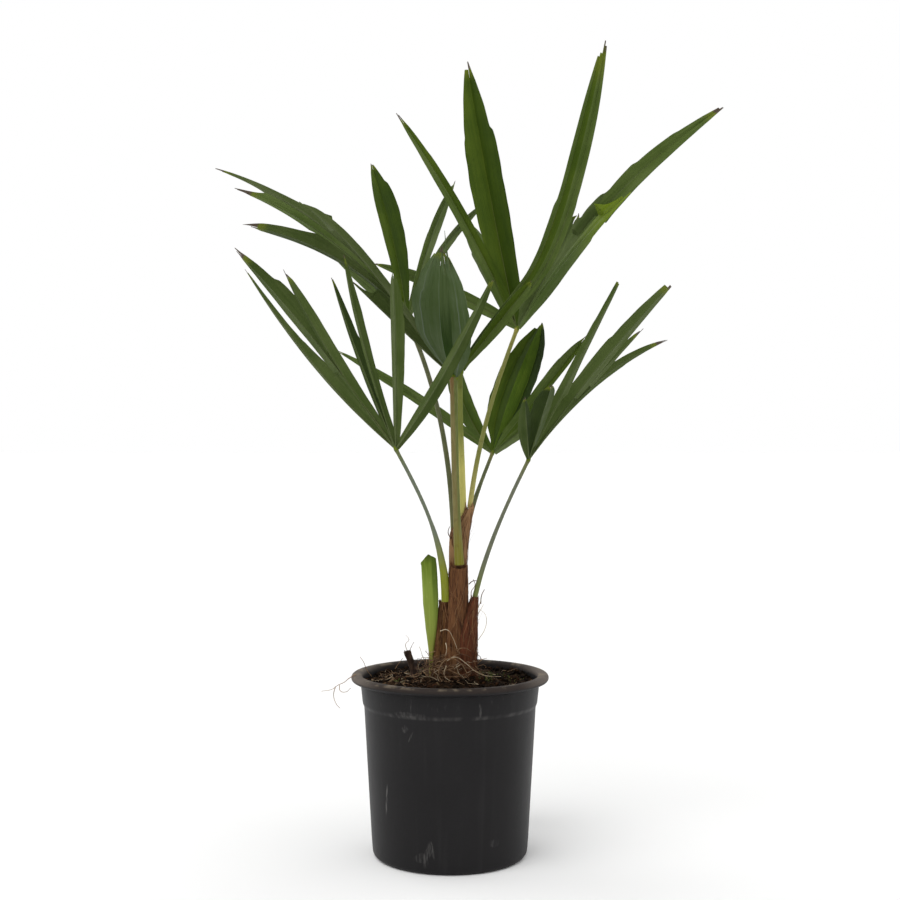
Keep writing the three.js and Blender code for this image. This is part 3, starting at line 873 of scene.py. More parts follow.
def ringAt(levels, height):
    # Centre and half widths of a stack at a height, on a smooth curve through its levels
    index = 0
    while index < len(levels) - 2 and levels[index + 1][0] < height:
        index += 1
    low, high = levels[index], levels[index + 1]
    before = levels[max(0, index - 1)]
    after = levels[min(len(levels) - 1, index + 2)]
    span = high[0] - low[0]
    share = min(1, max(0, (height - low[0]) / span))
    values = []
    for item in range(1, 5):
        leaving = (high[item] - before[item]) / (high[0] - before[0]) * span
        arriving = (after[item] - low[item]) / (after[0] - low[0]) * span
        values.append(
            (2 * share**3 - 3 * share**2 + 1) * low[item]
            + (share**3 - 2 * share**2 + share) * leaving
            + (3 * share**2 - 2 * share**3) * high[item]
            + (share**3 - share**2) * arriving
        )
    return values


def fibreFinish(name, dark, middle, light, skin=None):
    finish = Finish(name, specular=0.1)
    height = finish.axis(finish.coordinates(), "Z")
    threads = finish.grain(520, 3, (1, 1, 0.05))
    felt = finish.grain(210, 5, (1, 1, 0.4))
    patches = finish.grain(44, 4)
    thread = (threads * 0.5 + felt * 0.5).between(0.36, 0.66)
    shadedHollows = felt.between(0.5, 0.32) * patches.between(0.62, 0.4)
    colour = finish.coats(
        finish.mix(patches.between(0.35, 0.65), dark, middle),
        (thread * 0.7, light),
        # Painted shade: darkest brown in the hollows of the fibre mat, where the relief is low
        (shadedHollows * 0.55, (28, 15, 8)),
    )
    if skin:
        low, high, tan = skin
        colour = finish.mix(height.between(low, high) * (patches * 0.4 + 0.55), colour, tan)
    # Painted shade: darker towards the foot of each sheath, where it meets the soil
    foot = 1 - height.between(*bark["footShade"])
    colour = finish.mix(foot * 0.45, colour, (34, 21, 12))
    return finish.done(colour, 0.78 + felt * 0.2, threads + felt * 0.8, 0.0011)


def makeWood(name, part):
    levels, seed = part["levels"], part["seed"]
    foot, top = levels[0][0] - 0.001, levels[-1][0]
    rows = int((top - foot) / bark["rowStep"]) + 1

    def rimHeight(across, depth):
        # Teeth of torn fibre stand over the rim, and it dips where the next stalk comes out
        teeth = max(0, noise.noise(Vector((across * 3.1, depth * 3.1, seed)))) ** 2 * 3
        fine = noise.noise(Vector((across * 11, depth * 11, seed + 3)))
        return top + part["right"] * across - part["front"] * depth + part["ragged"] * (teeth + 0.25 * fine)

    def place(row, angle):
        across, depth = math.cos(angle), math.sin(angle)
        inside = max(0, row - rows + 1)
        height = blendValue(foot, rimHeight(across, depth), min(1, row / (rows - 1)))
        x, y, halfWidth, halfDepth = ringAt(levels, min(height, top))
        spot = Vector((across * halfWidth, depth * halfDepth, 0)) / bark["bundle"]
        spot.z = height / bark["run"] * 6 + seed
        bundles = 1 - 2 * abs(noise.noise(spot))
        fine = noise.noise(Vector((spot.x * 2.3, spot.y * 2.3, spot.z * 0.7)))
        turn = (angle / math.tau + (height - foot) * part["pitch"] + part["start"]) % 1
        coarse = part["relief"] + (1 - part["relief"]) * smoothStep(bark["netFrom"], ground, height)
        push = coarse * (bark["relief"] * (bundles * 0.6 + fine * 0.5) + (turn - 0.5) * bark["wrap"] * 2)
        shrink = 1 - bark["insideShrink"] * inside
        return Vector((x + across * (halfWidth + push) * shrink, y + depth * (halfDepth + push) * shrink,
                       height - bark["insideStep"] * max(0, inside - 1)))

    piece = wrapTube(name, rows + bark["insideRows"], bark["sides"], place, fibreFinish(*part["fibres"]))
    finishPiece(piece, [part["node"]], smooth=70)


for name, part in wood.items():
    makeWood(name, part)


# Loose fibres on the sheaths: shares are how often each is on the trunk, right, front and left

fibres = {
    "count": 620,
    "shares": [5, 3, 4, 2],
    "loose": 46,
    "length": (0.015, 0.06),
    "thick": (0.00009, 0.00026),
    "lift": 0.0006,
    "looseThick": 0.00014,
    "seed": 23,
}
fibreFinishes = [
    twoTone(name, dark, light, (90, 3), 0.75, 0.25)
    for name, dark, light in (
        ("fibreBrown", (76, 44, 24), (112, 70, 42)),
        ("fibreDark", (40, 22, 12), (68, 40, 24)),
        ("fibreTan", (126, 88, 56), (160, 120, 82)),
    )
]


def fibreOn(dice, levels, start, length, slope, thick, stray, knots=8):
    angle = dice.uniform(0, math.tau)
    points = []
    for knot in range(knots):
        share = knot / (knots - 1)
        height = min(start + length * share, levels[-1][0] + stray * 3 * share)
        x, y, halfWidth, halfDepth = ringAt(levels, height)
        out = fibres["lift"] + stray * share**2
        angle += slope * dice.uniform(0.4, 1.6) / (knots - 1) + dice.gauss(0, 0.03)
        x += math.cos(angle) * (halfWidth + out)
        points.append((x, y + math.sin(angle) * (halfDepth + out), height))
    return taper(points, thick, 0.6)


def makeFibres():
    dice = random.Random(fibres["seed"])
    stacks = [part["levels"] for part in wood.values()]
    strands = []
    for _ in range(fibres["count"]):
        levels = dice.choices(stacks, fibres["shares"])[0]
        start = dice.uniform(levels[0][0], levels[-1][0] - 0.02)
        length = dice.uniform(*fibres["length"])
        slope = dice.choice([-1, 1]) * dice.uniform(0.1, 1.2)
        thick = dice.uniform(*fibres["thick"])
        strand = fibreOn(dice, levels, start, length, slope, thick, dice.choice([0, 0, 0, fibres["lift"]]))
        strand["finish"] = dice.choices([0, 1, 2], [5, 3, 2])[0]
        strands.append(strand)
    for _ in range(fibres["loose"]):
        levels = dice.choice(stacks)
        start = dice.uniform(levels[-1][0] - 0.05, levels[-1][0] - 0.006)
        length, slope, stray = [dice.uniform(*span) for span in ((0.008, 0.02), (-1.5, 1.5), (0.002, 0.006))]
        strand = fibreOn(dice, levels, start, length, slope, fibres["looseThick"], stray, 6)
        strand["finish"] = dice.choice([0, 1, 2])
        strands.append(strand)
    finishPiece(drawStrands("sheathFibres", strands, fibreFinishes, 3), smooth=60)


makeFibres()


# Cut leaf base: a green strap that was cut across near its top

cutBase = {
    "knots": ((-0.0203, -0.003, ground), (-0.0186, -0.004, 0.2526), (-0.023, -0.009, 0.3191)),
    "widths": (0.004, 0.0055, 0.0124, 0.017, 0.0174, 0.0168),
    "thickness": (0.0035, 0.005, 0.0055, 0.0048, 0.004, 0.0028),
    "leftDrop": 0.0095,
    "rightDrop": 0.004,
    "rows": 90,
    "sides": 44,
    "hollow": 0.3,
    "fold": 0.0011,
    "ripple": 0.00025,
    "ragged": 0.0007,
    "colourFrom": 0.188,
    "colourLength": 0.135,
}


def cutBaseFinish():
    finish = Finish("cutLeafBase", specular=0.15)
    place = finish.coordinates()
    height, across = finish.axis(place, "Z"), finish.axis(place, "X")
    veins = finish.grain(420, 3, (1, 1, 0.03))
    rise = (height - cutBase["colourFrom"]) / cutBase["colourLength"]
    fold = across + (height - 0.30) * 0.06
    shadow = fold.between(-0.0205, -0.0185) * rise.between(0.35, 0.8)
    colour = finish.coats(
        finish.ramp(
            rise,
            (0.0, (168, 150, 86)),
            (0.12, (148, 150, 68)),
            (0.34, (132, 145, 62)),
            (0.7, (120, 139, 54)),
            (0.9, (92, 113, 26)),
            (0.965, (62, 76, 14)),
            (1.0, (72, 64, 28)),
        ),
        (veins.between(0.45, 0.7) * 0.3, (156, 170, 84)),
        (shadow * 0.7, (66, 88, 12)),
        (finish.grain(70, 3).between(0.62, 0.75) * 0.3, (166, 172, 100)),
        (finish.grain(330, 1).between(0.80, 0.83), (214, 222, 190)),
    )
    return finish.done(colour, 0.45 + veins * 0.15, veins, 0.0005)


def makeCutBase():
    across = Vector((1, -0.25, 0)).normalized()
    outwards = Vector((-0.25, -1, 0)).normalized()

    def place(row, angle):
        share = row / (cutBase["rows"] - 1)
        sideways = math.copysign(abs(math.cos(angle)) ** 0.8, math.cos(angle))
        face = math.sin(angle)
        halfWidth = along(cutBase["widths"], share) / 2
        halfDepth = along(cutBase["thickness"], share) / 2
        curl = cutBase["hollow"] * halfWidth * (1 - sideways**2) * smoothStep(0.1, 0.6, share)
        drop = abs(sideways) * (cutBase["leftDrop"] if sideways < 0 else cutBase["rightDrop"])
        ragged = cutBase["ragged"] * noise.noise(Vector((sideways * 5, 0, 2)))
        cut = (ragged - drop) * smoothStep(0.9, 1, share)
        crease = cutBase["fold"] * math.exp(-((sideways - 0.1) / 0.12) ** 2) * smoothStep(0.4, 0.8, share)
        ripple = cutBase["ripple"] * noise.noise(Vector((sideways * 4, face * 2, share * 14)))
        out = face * halfDepth + curl * 0.5 + ripple - crease
        middle = bend(cutBase["knots"], share)
        return middle + across * (sideways * halfWidth) + outwards * out + Vector((0, 0, cut))

    piece = wrapTube("cutLeafBase", cutBase["rows"], cutBase["sides"], place, cutBaseFinish())
    finishPiece(piece, ["cut_leaf_base"], smooth=50)


makeCutBase()
print("pot, soil and trunk done")


# Fronds, in millimetres. A stalk leaves its foot on the trunk in one direction and arrives at the
# hub of its blade in another. Climb and approach are the lengths of the curve's handles, and it
# has narrowed to its hub's width at the share told by narrows. A direction is a swing from
# straight up towards +X and a lean to the front, in degrees.
# A leaflet has its reach, swing, lean, width and tones. Bow bends it sideways and droop upwards,
# most of all at the crook, and turn is a bend nearer to the hub, as its share of the reach and how
# far it lies aside. Joined is how far the leaflet is one with the next. It is widest at its peak,
# falls off to its tip and has the tip's width, and soft makes its folds shallower.
# Strips are the halves of its folds from left to right. Tones are their colours, lighter or darker by how
# the light falls on each half, so painted light and shade as well as the leaves' own greens, and lobes the
# share where each ends with the share of its width kept there, from the cleft on. Dry is the share from
# which the tip is dry. Shoulders are steps in the outline: side, place and size.

usual = dict(bow=0, droop=0, crook=0.5, joined=0, peak=0.5, fall=1.9, tip=1.6, folds=1, soft=1)


def inMetres(record, names):
    for name in names:
        value = record[name]
        record[name] = Vector(value) * mm if isinstance(value, tuple) else value * mm
    return record


def leaflet(reach, swing, lean, width, tones, **others):
    item = {**usual, **others, "reach": reach, "swing": swing, "lean": lean, "width": width, "tones": tones}
    return inMetres(item, ["reach", "width", "bow", "droop", "joined", "tip"])


fronds = {
    "a": {
        "foot": (-3.8, -6, 269.2), "leaving": (-2.6, 6), "climb": 70, "footWidth": 10.8, "narrows": 0.5,
        "hub": (-55, -70, 430.6), "arriving": (-27, 28), "approach": 62, "hubWidth": 3.8,
        "faces": (-0.6, -0.72, -0.35), "upperSide": -1,
        "leaflets": [
            leaflet(254, -40.3, -12, 10, "gm", bow=-12, joined=100, peak=0.45),
            leaflet(269, -39, -6, 25, "md", bow=7.2, joined=125, peak=0.62, fall=1.5, tip=3, cleft=0.95,
                    lobes=((0.985, 0.5), (1, 0.5)), dry=0.955, shoulders=((1, 0.78, 0.2),)),
            leaflet(214, -32, 2, 16, "dm", bow=-8, crook=0.44, joined=42, peak=0.6, fall=2.7,
                    shoulders=((-1, 0.5, 0.2),)),
            leaflet(184, -20.1, 11, 13, "dk", bow=-3, joined=55, peak=0.45),
            leaflet(205, -14.4, 19, 10, "md", bow=-5, joined=22, peak=0.7, fall=1.5),
            leaflet(190, 0.2, 28, 15, "gm", bow=2, crook=0.6, joined=14, peak=0.6, fall=4, dry=1.1),
            leaflet(231, 31.2, 39, 10, "md", bow=5, peak=0.4, fall=2.3, tip=4, cleft=0.96,
                    lobes=((0.985, 0.9), (1, 0.6)), dry=1.0),
        ],
    },
    "b": {
        "foot": (21, 2.5, 367.2), "leaving": (7, -6), "climb": 75, "footWidth": 5.6,
        "hub": (73.6, 45, 562.6), "arriving": (21, -20), "approach": 75, "hubWidth": 4.4,
        "faces": (-0.25, -0.93, 0.25), "upperSide": 1,
        "leaflets": [
            leaflet(207, -62.3, -28, 14, "gg", bow=-2, droop=8, joined=25, peak=0.38, fall=3),
            leaflet(297, -27.9, -14, 11.5, "gm", bow=7, joined=24, peak=0.38, fall=3, tip=2),
            leaflet(227, -20, -48, 19, "pg", joined=24, peak=0.7, fall=3, tip=1.7),
            leaflet(330, -9.7, -14, 33.5, "md", bow=-1, droop=-1.5, joined=43, fall=2.3, tip=4, cleft=0.925,
                    lobes=((0.97, 0.95), (1, 0.6)), dry=0.975,
                    shoulders=((1, 0.71, 0.16), (-1, 0.69, 0.06))),
            leaflet(156, 28, -14, 22, "pp", bow=1, joined=128, peak=0.7, fall=4, cleft=0.9),
            leaflet(225, 36.2, -8, 26, "pp", bow=1, droop=6, joined=155, peak=0.58, tip=1.7,
                    shoulders=((-1, 0.62, 0.25), (-1, 0.8, 0.2))),
            leaflet(338, 42.7, -3, 20, "gg", droop=19.5, joined=150, peak=0.56, fall=2.5, tip=4.5,
                    lobes=((0.99, 0.9), (1, 0.8)),
                    shoulders=((-1, 0.43, 0.17), (-1, 0.65, 0.15), (-1, 0.82, 0.1))),
            leaflet(191, 39.8, 9, 21, "ww", droop=7, crook=0.6, peak=0.3, fall=1.2, tip=5, cleft=0.85,
                    lobes=((0.94, 0.7), (1, 0.7)), dry=1.1, shoulders=((1, 0.6, 0.15), (-1, 0.8, 0.3))),
        ],
    },
    "c": {
        "foot": (18, 7.5, 342.6), "leaving": (10, -20), "climb": 30, "footWidth": 6.4,
        "hub": (47, 60, 426.1), "arriving": (22, -32), "approach": 32, "hubWidth": 4,
        "faces": (-0.35, -0.8, 0.45), "upperSide": 1,
        "leaflets": [
            leaflet(266, -56.1, -33, 11, "gg", droop=5, joined=24, peak=0.33, fall=2.3),
            leaflet(165, -21.7, -42, 19, "gm", bow=-8, joined=14, peak=0.55, fall=3, tip=4, cleft=0.96,
                    lobes=((1, 0.9), (0.98, 0.8))),
            leaflet(182, 21.6, -26, 48, "mdbk", bow=-2, joined=27, peak=0.4, fall=3, folds=2, cleft=0.95,
                    lobes=((0.95, 0.6), (0.975, 0.7), (1, 0.85), (0.996, 0.95)), dry=0.99),
            leaflet(171, 39, -8, 14, "gm", joined=66, peak=0.7, fall=2.3),
            leaflet(90, 52, -5, 16, "gp", peak=0.6, fall=5, tip=10),
        ],
    },
    "d": {
        "foot": (26.5, -6, 273.6), "leaving": (13, 2), "climb": 50, "footWidth": 5.6,
        "hub": (81.2, -45, 419.6), "arriving": (25.5, 18), "approach": 60, "hubWidth": 3.8,
        "faces": (0.45, -0.8, -0.35), "upperSide": -1,
        "leaflets": [
            leaflet(110, -8.4, 56, 14, "dk", joined=15),
            leaflet(112, 13.5, 48, 22, "kd", joined=18, peak=0.68, fall=3),
            leaflet(203, 26.3, 12, 6, "mg", crook=0.6, joined=68, peak=0.3, tip=4.5, cleft=0.99,
                    lobes=((1, 0.95), (0.993, 0.95)), dry=1.015),
            leaflet(231, 38.9, 2, 10, "mg", bow=3, droop=6.5, joined=80, peak=0.6, tip=9, cleft=0.955,
                    lobes=((0.985, 0.9), (1, 0.9)), dry=0.985),
            leaflet(186, 41.5, -8, 12, "mg", bow=3, droop=6, joined=100, lobes=((0.975, 0.5), (1, 0.5)),
                    dry=0.955),
            leaflet(204, 49.8, -14, 10, "mm", bow=1, droop=16, crook=0.56, fall=2.3, dry=0.93),
        ],
    },
    "e": {
        "foot": (10, -11.5, 308.2), "leaving": (-4, 2), "climb": 60, "footWidth": 10.4, "narrows": 0.3,
        "hub": (3.6, -35, 506.1), "arriving": (-0.9, 10), "approach": 60, "hubWidth": 7.8,
        "faces": (-0.5, -0.58, -0.64), "upperSide": -1,
        "leaflets": [
            leaflet(150, -46.6, -8, 11, "mm", joined=120, peak=0.28),
            leaflet(278, -54, -6, 17.5, "dm", bow=9.5, droop=24.8, crook=0.52, joined=200, peak=0.7, fall=4,
                    tip=1.8, dry=0.95),
            leaflet(297, -49.5, 3, 23, "bb", droop=25, crook=0.6, joined=262, peak=0.57, dry=0.94,
                    shoulders=((1, 0.62, 0.25),)),
            leaflet(321, -49.2, 7, 8, "gg", droop=29, crook=0.57, joined=190, peak=0.7),
            leaflet(238, -42, 15, 13.5, "gg", droop=10.5, crook=0.7, turn=(0.33, 0), joined=17, peak=0.7,
                    fall=3, dry=1.03),
            leaflet(168, -5.6, 45, 65, "pppvpp", bow=-8, droop=-10, crook=0.38, fall=2.7, folds=3,
                    soft=0.45, cleft=0.88,
                    lobes=((0.95, 0.9), (0.96, 0.9), (1, 0.6), (1, 0.6), (0.97, 0.9), (0.95, 0.9)),
                    dry=0.97),
        ],
        "spikes": [
            ((-0.5, -149, 601.6), (-3.4, -150, 621.6), (-5.2, -150, 639.6)),
            ((-5.5, -149, 597.6), (-7.5, -150, 613.6), (-7, -150, 625.6)),
        ],
    },
    "f": {
        "foot": (4, 6, 335.6), "leaving": (-2, -3), "climb": 80, "footWidth": 6,
        "hub": (-45.8, 35, 569.3), "arriving": (-24.5, -12), "approach": 85, "hubWidth": 5,
        "faces": (0.35, -0.8, 0.45), "upperSide": 1,
        "leaflets": [
            leaflet(184, -45.5, -38, 25, "gg", joined=30, peak=0.4, fall=1.5),
            leaflet(216, -13.3, -24, 26, "md", bow=4, droop=1.5, joined=25, peak=0.65, cleft=0.93,
                    lobes=((0.992, 0.6), (0.985, 0.9)), dry=0.985, shoulders=((1, 0.85, 0.2),)),
            leaflet(220, 16.2, -33, 11, "gp", bow=-5, joined=25, peak=0.62),
            leaflet(196, 30.3, -30, 8, "pp", bow=-11, fall=4),
        ],
    },
    "g": {
        "foot": (14, 1, 349.6), "leaving": (0, 0), "climb": 55, "footWidth": 7.4,
        "hub": (10.8, 4, 514.1), "arriving": (2, -3), "approach": 50, "hubWidth": 6.4,
        "faces": (0.3, -0.95, 0), "upperSide": 1,
        "leaflets": [
            leaflet(380, 23.7, 3, 17, "gmgg", bow=33.5, crook=0.2, turn=(0.38, 11.8), peak=0.8, fall=3.1,
                    tip=6, folds=2, cleft=0.97, lobes=((0.98, 0.9), (0.985, 0.95), (1, 0.95), (0.995, 0.9)),
                    dry=0.995, shoulders=((-1, 0.72, 0.14), (1, 0.74, 0.05))),
            leaflet(122, 38.8, 9, 13, "mg", peak=0.6, fall=4, cleft=0.97, dry=0.99),
        ],
    },
}


for frond in fronds.values():
    inMetres(frond, ["foot", "hub", "climb", "approach", "footWidth", "hubWidth"])


def directionOf(swing, lean):
    turned, tipped = math.radians(swing), math.radians(lean)
    level = math.cos(tipped)
    return Vector((math.sin(turned) * level, -math.sin(tipped), math.cos(turned) * level))


# Leaf stalks

stalkShape = {
    "rows": 90,
    "sides": 24,
    "samples": 240,
    "depth": 0.8,
    "keel": 0.12,
    "channel": 0.10,
    "narrows": 0.62,
    "flare": 0.25,
    "wave": 0.03,
}
# Colours of each stalk by its height from foot to hub, the tint of its right half, and the
# shares between which the foot's colour turns into the middle's
stalkColours = {
    "a": {"foot": (126, 132, 36), "middle": (106, 114, 98), "hub": (96, 106, 60), "turns": (0.2, 0.46)},
    "b": {"foot": (184, 174, 106), "middle": (124, 126, 66), "hub": (140, 134, 62)},
    "c": {"foot": (108, 110, 66), "middle": (86, 92, 64), "hub": (108, 106, 58)},
    "d": {"foot": (112, 122, 64), "middle": (102, 106, 90), "hub": (100, 104, 60)},
    "e": {"foot": (114, 110, 32), "middle": (118, 108, 66), "hub": (118, 88, 52), "right": (96, 104, 54)},
    "f": {"foot": (96, 98, 64), "middle": (88, 92, 64), "hub": (62, 70, 38)},
    "g": {"foot": (196, 190, 108), "middle": (116, 124, 58), "hub": (84, 96, 40), "turns": (0.36, 0.62)},
}


def stalkFinish(letter, frond):
    colours = stalkColours[letter]
    finish = Finish("stalk" + letter.upper(), specular=0.1)
    place = finish.coordinates()
    foot, hub = frond["foot"], frond["hub"]
    rise = (finish.axis(place, "Z") - foot.z) / (hub.z - foot.z)
    low, high = colours.get("turns", (0.02, 0.28))
    middle = colours["middle"]
    body = finish.ramp(rise, (low, colours["foot"]), (high, middle), (0.85, middle), (1.0, colours["hub"]))
    if "right" in colours:
        aside = finish.axis(place, "X") - hub.x - (1 - rise) * (foot.x - hub.x)
        body = finish.mix(aside.between(-0.001, 0.0012) * rise.between(0.1, 0.3), body, colours["right"])
    lines = finish.grain(700, 2, (1, 1, 0.02))
    flecks = finish.grain(150, 4)
    colour = finish.coats(
        body,
        (lines.between(0.4, 0.7) * 0.2, (150, 150, 104)),
        (flecks.between(0.6, 0.72) * 0.3, (70, 52, 34)),
    )
    return finish.done(colour, 0.42 + flecks * 0.15, lines, 0.0003)


def stalkLine(frond, count):
    # Points of the stalk's middle line, spaced evenly along it
    foot, hub = frond["foot"], frond["hub"]
    knots = [foot, foot + directionOf(*frond["leaving"]) * frond["climb"],
             hub - directionOf(*frond["arriving"]) * frond["approach"], hub]
    fine = stalkShape["samples"]
    samples = [bend(knots, step / fine) for step in range(fine + 1)]
    lengths = [0.0]
    for first, second in zip(samples, samples[1:]):
        lengths.append(lengths[-1] + (second - first).length)
    points, index = [], 0
    for step in range(count):
        wanted = lengths[-1] * step / (count - 1)
        while index < fine - 1 and lengths[index + 1] < wanted:
            index += 1
        share = (wanted - lengths[index]) / (lengths[index + 1] - lengths[index])
        points.append(samples[index].lerp(samples[index + 1], min(1, share)))
    return points


def makeStalk(letter, frond):
    rows = stalkShape["rows"]
    line = stalkLine(frond, rows)

    def place(row, angle):
        share = row / (rows - 1)
        ahead = (line[min(row + 1, rows - 1)] - line[max(row - 1, 0)]).normalized()
        right = ahead.cross(Vector((0, -1, 0))).normalized()
        front = right.cross(ahead)
        narrowed = min(1, share / frond.get("narrows", stalkShape["narrows"]))
        width = blendValue(frond["footWidth"], frond["hubWidth"], narrowed)
        width *= 1 + stalkShape["flare"] * smoothStep(0.97, 1, share)
        sideways, face = math.cos(angle), math.sin(angle)
        keel = 1 + stalkShape["keel"] * max(0, face) - stalkShape["channel"] * max(0, -face) ** 3
        wave = 1 + stalkShape["wave"] * noise.noise(Vector((sideways, face, share * 9 + ord(letter))))
        out = front * (face * width / 2 * stalkShape["depth"] * keel)
        return line[row] + (right * (sideways * width / 2) + out) * wave

    piece = wrapTube("leafStalk_" + letter, rows, stalkShape["sides"], place, stalkFinish(letter, frond))
    finishPiece(piece, ["stalk_" + letter], smooth=60)


for letter, frond in fronds.items():
    makeStalk(letter, frond)


# Fans of leaflets

leaf = {
    "start": 0.0016,
    "rowStep": 0.0024,
    "rootShare": 0.12,
    "parting": 5,
    "fold": 0.45,
    "thickness": 0.0005,
    "camber": 0.05,
    "groove": 0.00035,
    "ripple": 0.0007,
    "veinPitch": 0.0018,
    "dryFrom": 0.97,
    "strip": (0, 0.07, 0.2, 0.34, 0.48, 0.62, 0.76, 0.9, 1),
    "ribKnots": 12,
    "ribEnd": 0.86,
    "ribRadius": 0.0008,
    "spikeRadii": (0.0011, 0.0008, 0.0002),
    "hub": (0.62, 0.5, 0.95),
    "seed": 5,
}
# Upper and lower face of each tone, by its letter, and the colour that some fade to at the tip. The tones go
# from deep to pale greens and are dealt to the strips by how the light falls on them: painted light and
# shade over the leaves' own greens
leafTonesLitAndShaded = {
    "k": ((36, 54, 4), (42, 56, 18)),
    "d": ((50, 68, 8), (60, 74, 30)),
    "m": ((64, 82, 16), (70, 84, 38)),
    "g": ((77, 93, 40), (80, 92, 50)),
    "b": ((74, 96, 22), (86, 103, 48)),
    "y": ((88, 108, 18), (98, 114, 30)),
    "p": ((84, 98, 52), (76, 92, 54)),
    "v": ((38, 62, 6), (38, 60, 12), (76, 92, 54)),
    "w": ((82, 98, 48), (80, 96, 50), (104, 124, 22)),
}


def leafFinish(name, colour, roughness, fades):
    finish = Finish(name, specular=0.08)
    red, green, blue = colour
    uv = finish.coordinates("UV")
    aside, onward = finish.axis(uv, "X"), finish.axis(uv, "Y")
    cloudy = finish.stretch(finish.coordinates(), (14, 14, 14))
    streaks = finish.noise(finish.combine(finish.stretch(uv, (300, 0, 0)), cloudy), 1.0, 3.0)
    vein = (aside * (math.tau / leaf["veinPitch"])).sine() * 0.5 + 0.5
    clouds, blots = finish.grain(24, 3), finish.grain(120, 4)
    rib = (1 - aside.between(0.0002, 0.0009)) * (1 - onward.between(0.55, 0.9))
    ragged = onward + (blots - 0.5) * 0.03

    def tint(*shares):
        return [value * share for value, share in zip(colour, shares)]

    surface = finish.coats(
        finish.mix(clouds.between(0.3, 0.7), tint(0.9, 0.93, 0.85), tint(1.09, 1.07, 1.2)),
        *[(onward.between(0.3, 0.75), fade) for fade in fades],
        (streaks.between(0.48, 0.7) * 0.4, tint(0.74, 0.82, 0.5)),
        (streaks.between(0.5, 0.3) * 0.3, tint(1.25, 1.16, 1.5)),
        (vein * 0.1, tint(0.7, 0.78, 0.7)),
        (rib * 0.4, (red * 1.5, green * 1.35, blue * 2 + 8)),
        (ragged.between(0.915, 0.96) * 0.7, (104, 114, 34)),
        (ragged.between(0.96, 0.972), (84, 74, 62)),
    )
    relief = vein * 0.35 + streaks * 1.2 + blots * 0.2
    return finish.done(surface, roughness + clouds * 0.1 + blots * 0.06, relief, 0.00022)


leafMaterials = []
leafIndex = {}
for tone, (upper, lower, *fades) in leafTonesLitAndShaded.items():
    leafIndex[tone] = len(leafMaterials)
    leafMaterials.append(leafFinish("leafTop" + tone.upper(), upper, 0.5, fades))
    leafMaterials.append(leafFinish("leafUnder" + tone.upper(), lower, 0.55, fades))


def underside(tone):
    return leafMaterials[leafIndex[tone] + 1]


# The curve of a leaflet's rib, the way across it and the way that its folds rise
def ribOf(frond, item):
    ahead = directionOf(item["swing"], item["lean"])
    ways = Vector(frond["faces"]), Vector((0, 0, 1))
    facing, over = [(way - ahead * way.dot(ahead)).normalized() for way in ways]
    across = ahead.cross(facing)
    hub = frond["hub"]
    tip = hub + ahead * item["reach"]
    middle = hub.lerp(tip, item["crook"]) + (across * (2 * item["bow"]) + over * (2 * item["droop"]))
    knots = [hub, middle, tip]
    if "turn" in item:
        onward, aside = item["turn"]
        knots.insert(1, hub.lerp(tip, onward) + across * (2 * aside * mm))
    return {"knots": knots, "across": across, "lift": facing * frond["upperSide"]}


def onRib(rib, share):
    return bend(rib["knots"], share)


# Half the width of a leaflet that is free on that side
def freeHalf(item, share):
    peak = item["peak"]
    rise = math.sin(min(share / peak, 1) * math.pi / 2)
    fall = 1 - (max(share - peak, 0) / (1 - peak)) ** item["fall"]
    full = (leaf["rootShare"] + (1 - leaf["rootShare"]) * rise) * fall
    return item["width"] / 2 * full + item["tip"] / 2


# Height of the pleats across a leaflet, 1 at its crests and 0 at its valleys
def pleat(place, folds):
    return abs(2 * (((place + 1) * folds / 2) % 1) - 1)


def slopeOf(item):
    return leaf["fold"] * item["soft"] / item["folds"]


# The way from a rib to the edge, and the height and direction of the edge's crest
def edgeOf(frond, ribs, index, side, distance, nicks):
    item, rib = frond["leaflets"][index], ribs[index]
    share = min(1, distance / item["reach"])
    pair, other = (index, index + 1) if side > 0 else (index - 1, index - 1)
    joined = frond["leaflets"][pair]["joined"] if pair >= 0 else 0
    slope = slopeOf(item)
    free = freeHalf(item, share) * nicks(side, share)
    if not joined or other == len(ribs):
        return rib["across"] * side * free, slope * free, rib["lift"]
    neighbour = frond["leaflets"][other]

    def halfWay(length):
        there = onRib(ribs[other], min(1, length / neighbour["reach"]))
        return (there - onRib(rib, length / item["reach"])) / 2

    if distance < joined:
        half = halfWay(distance)
        crest = half.length * (slope + slopeOf(neighbour)) / 2
        return half, crest, (rib["lift"] + ribs[other]["lift"]).normalized()
    onward = (distance - joined) / (item["reach"] - joined)
    extra = halfWay(joined).length - freeHalf(item, joined / item["reach"])
    free += extra * (1 - onward) ** leaf["parting"]
    return rib["across"] * side * free, slope * free, rib["lift"]


def randomLobes(dice, count):
    lobes = [(dice.uniform(0.96, 0.995), 0.4) for _ in range(count)]
    lobes[dice.randrange(count)] = (1, 0.45)
    return lobes


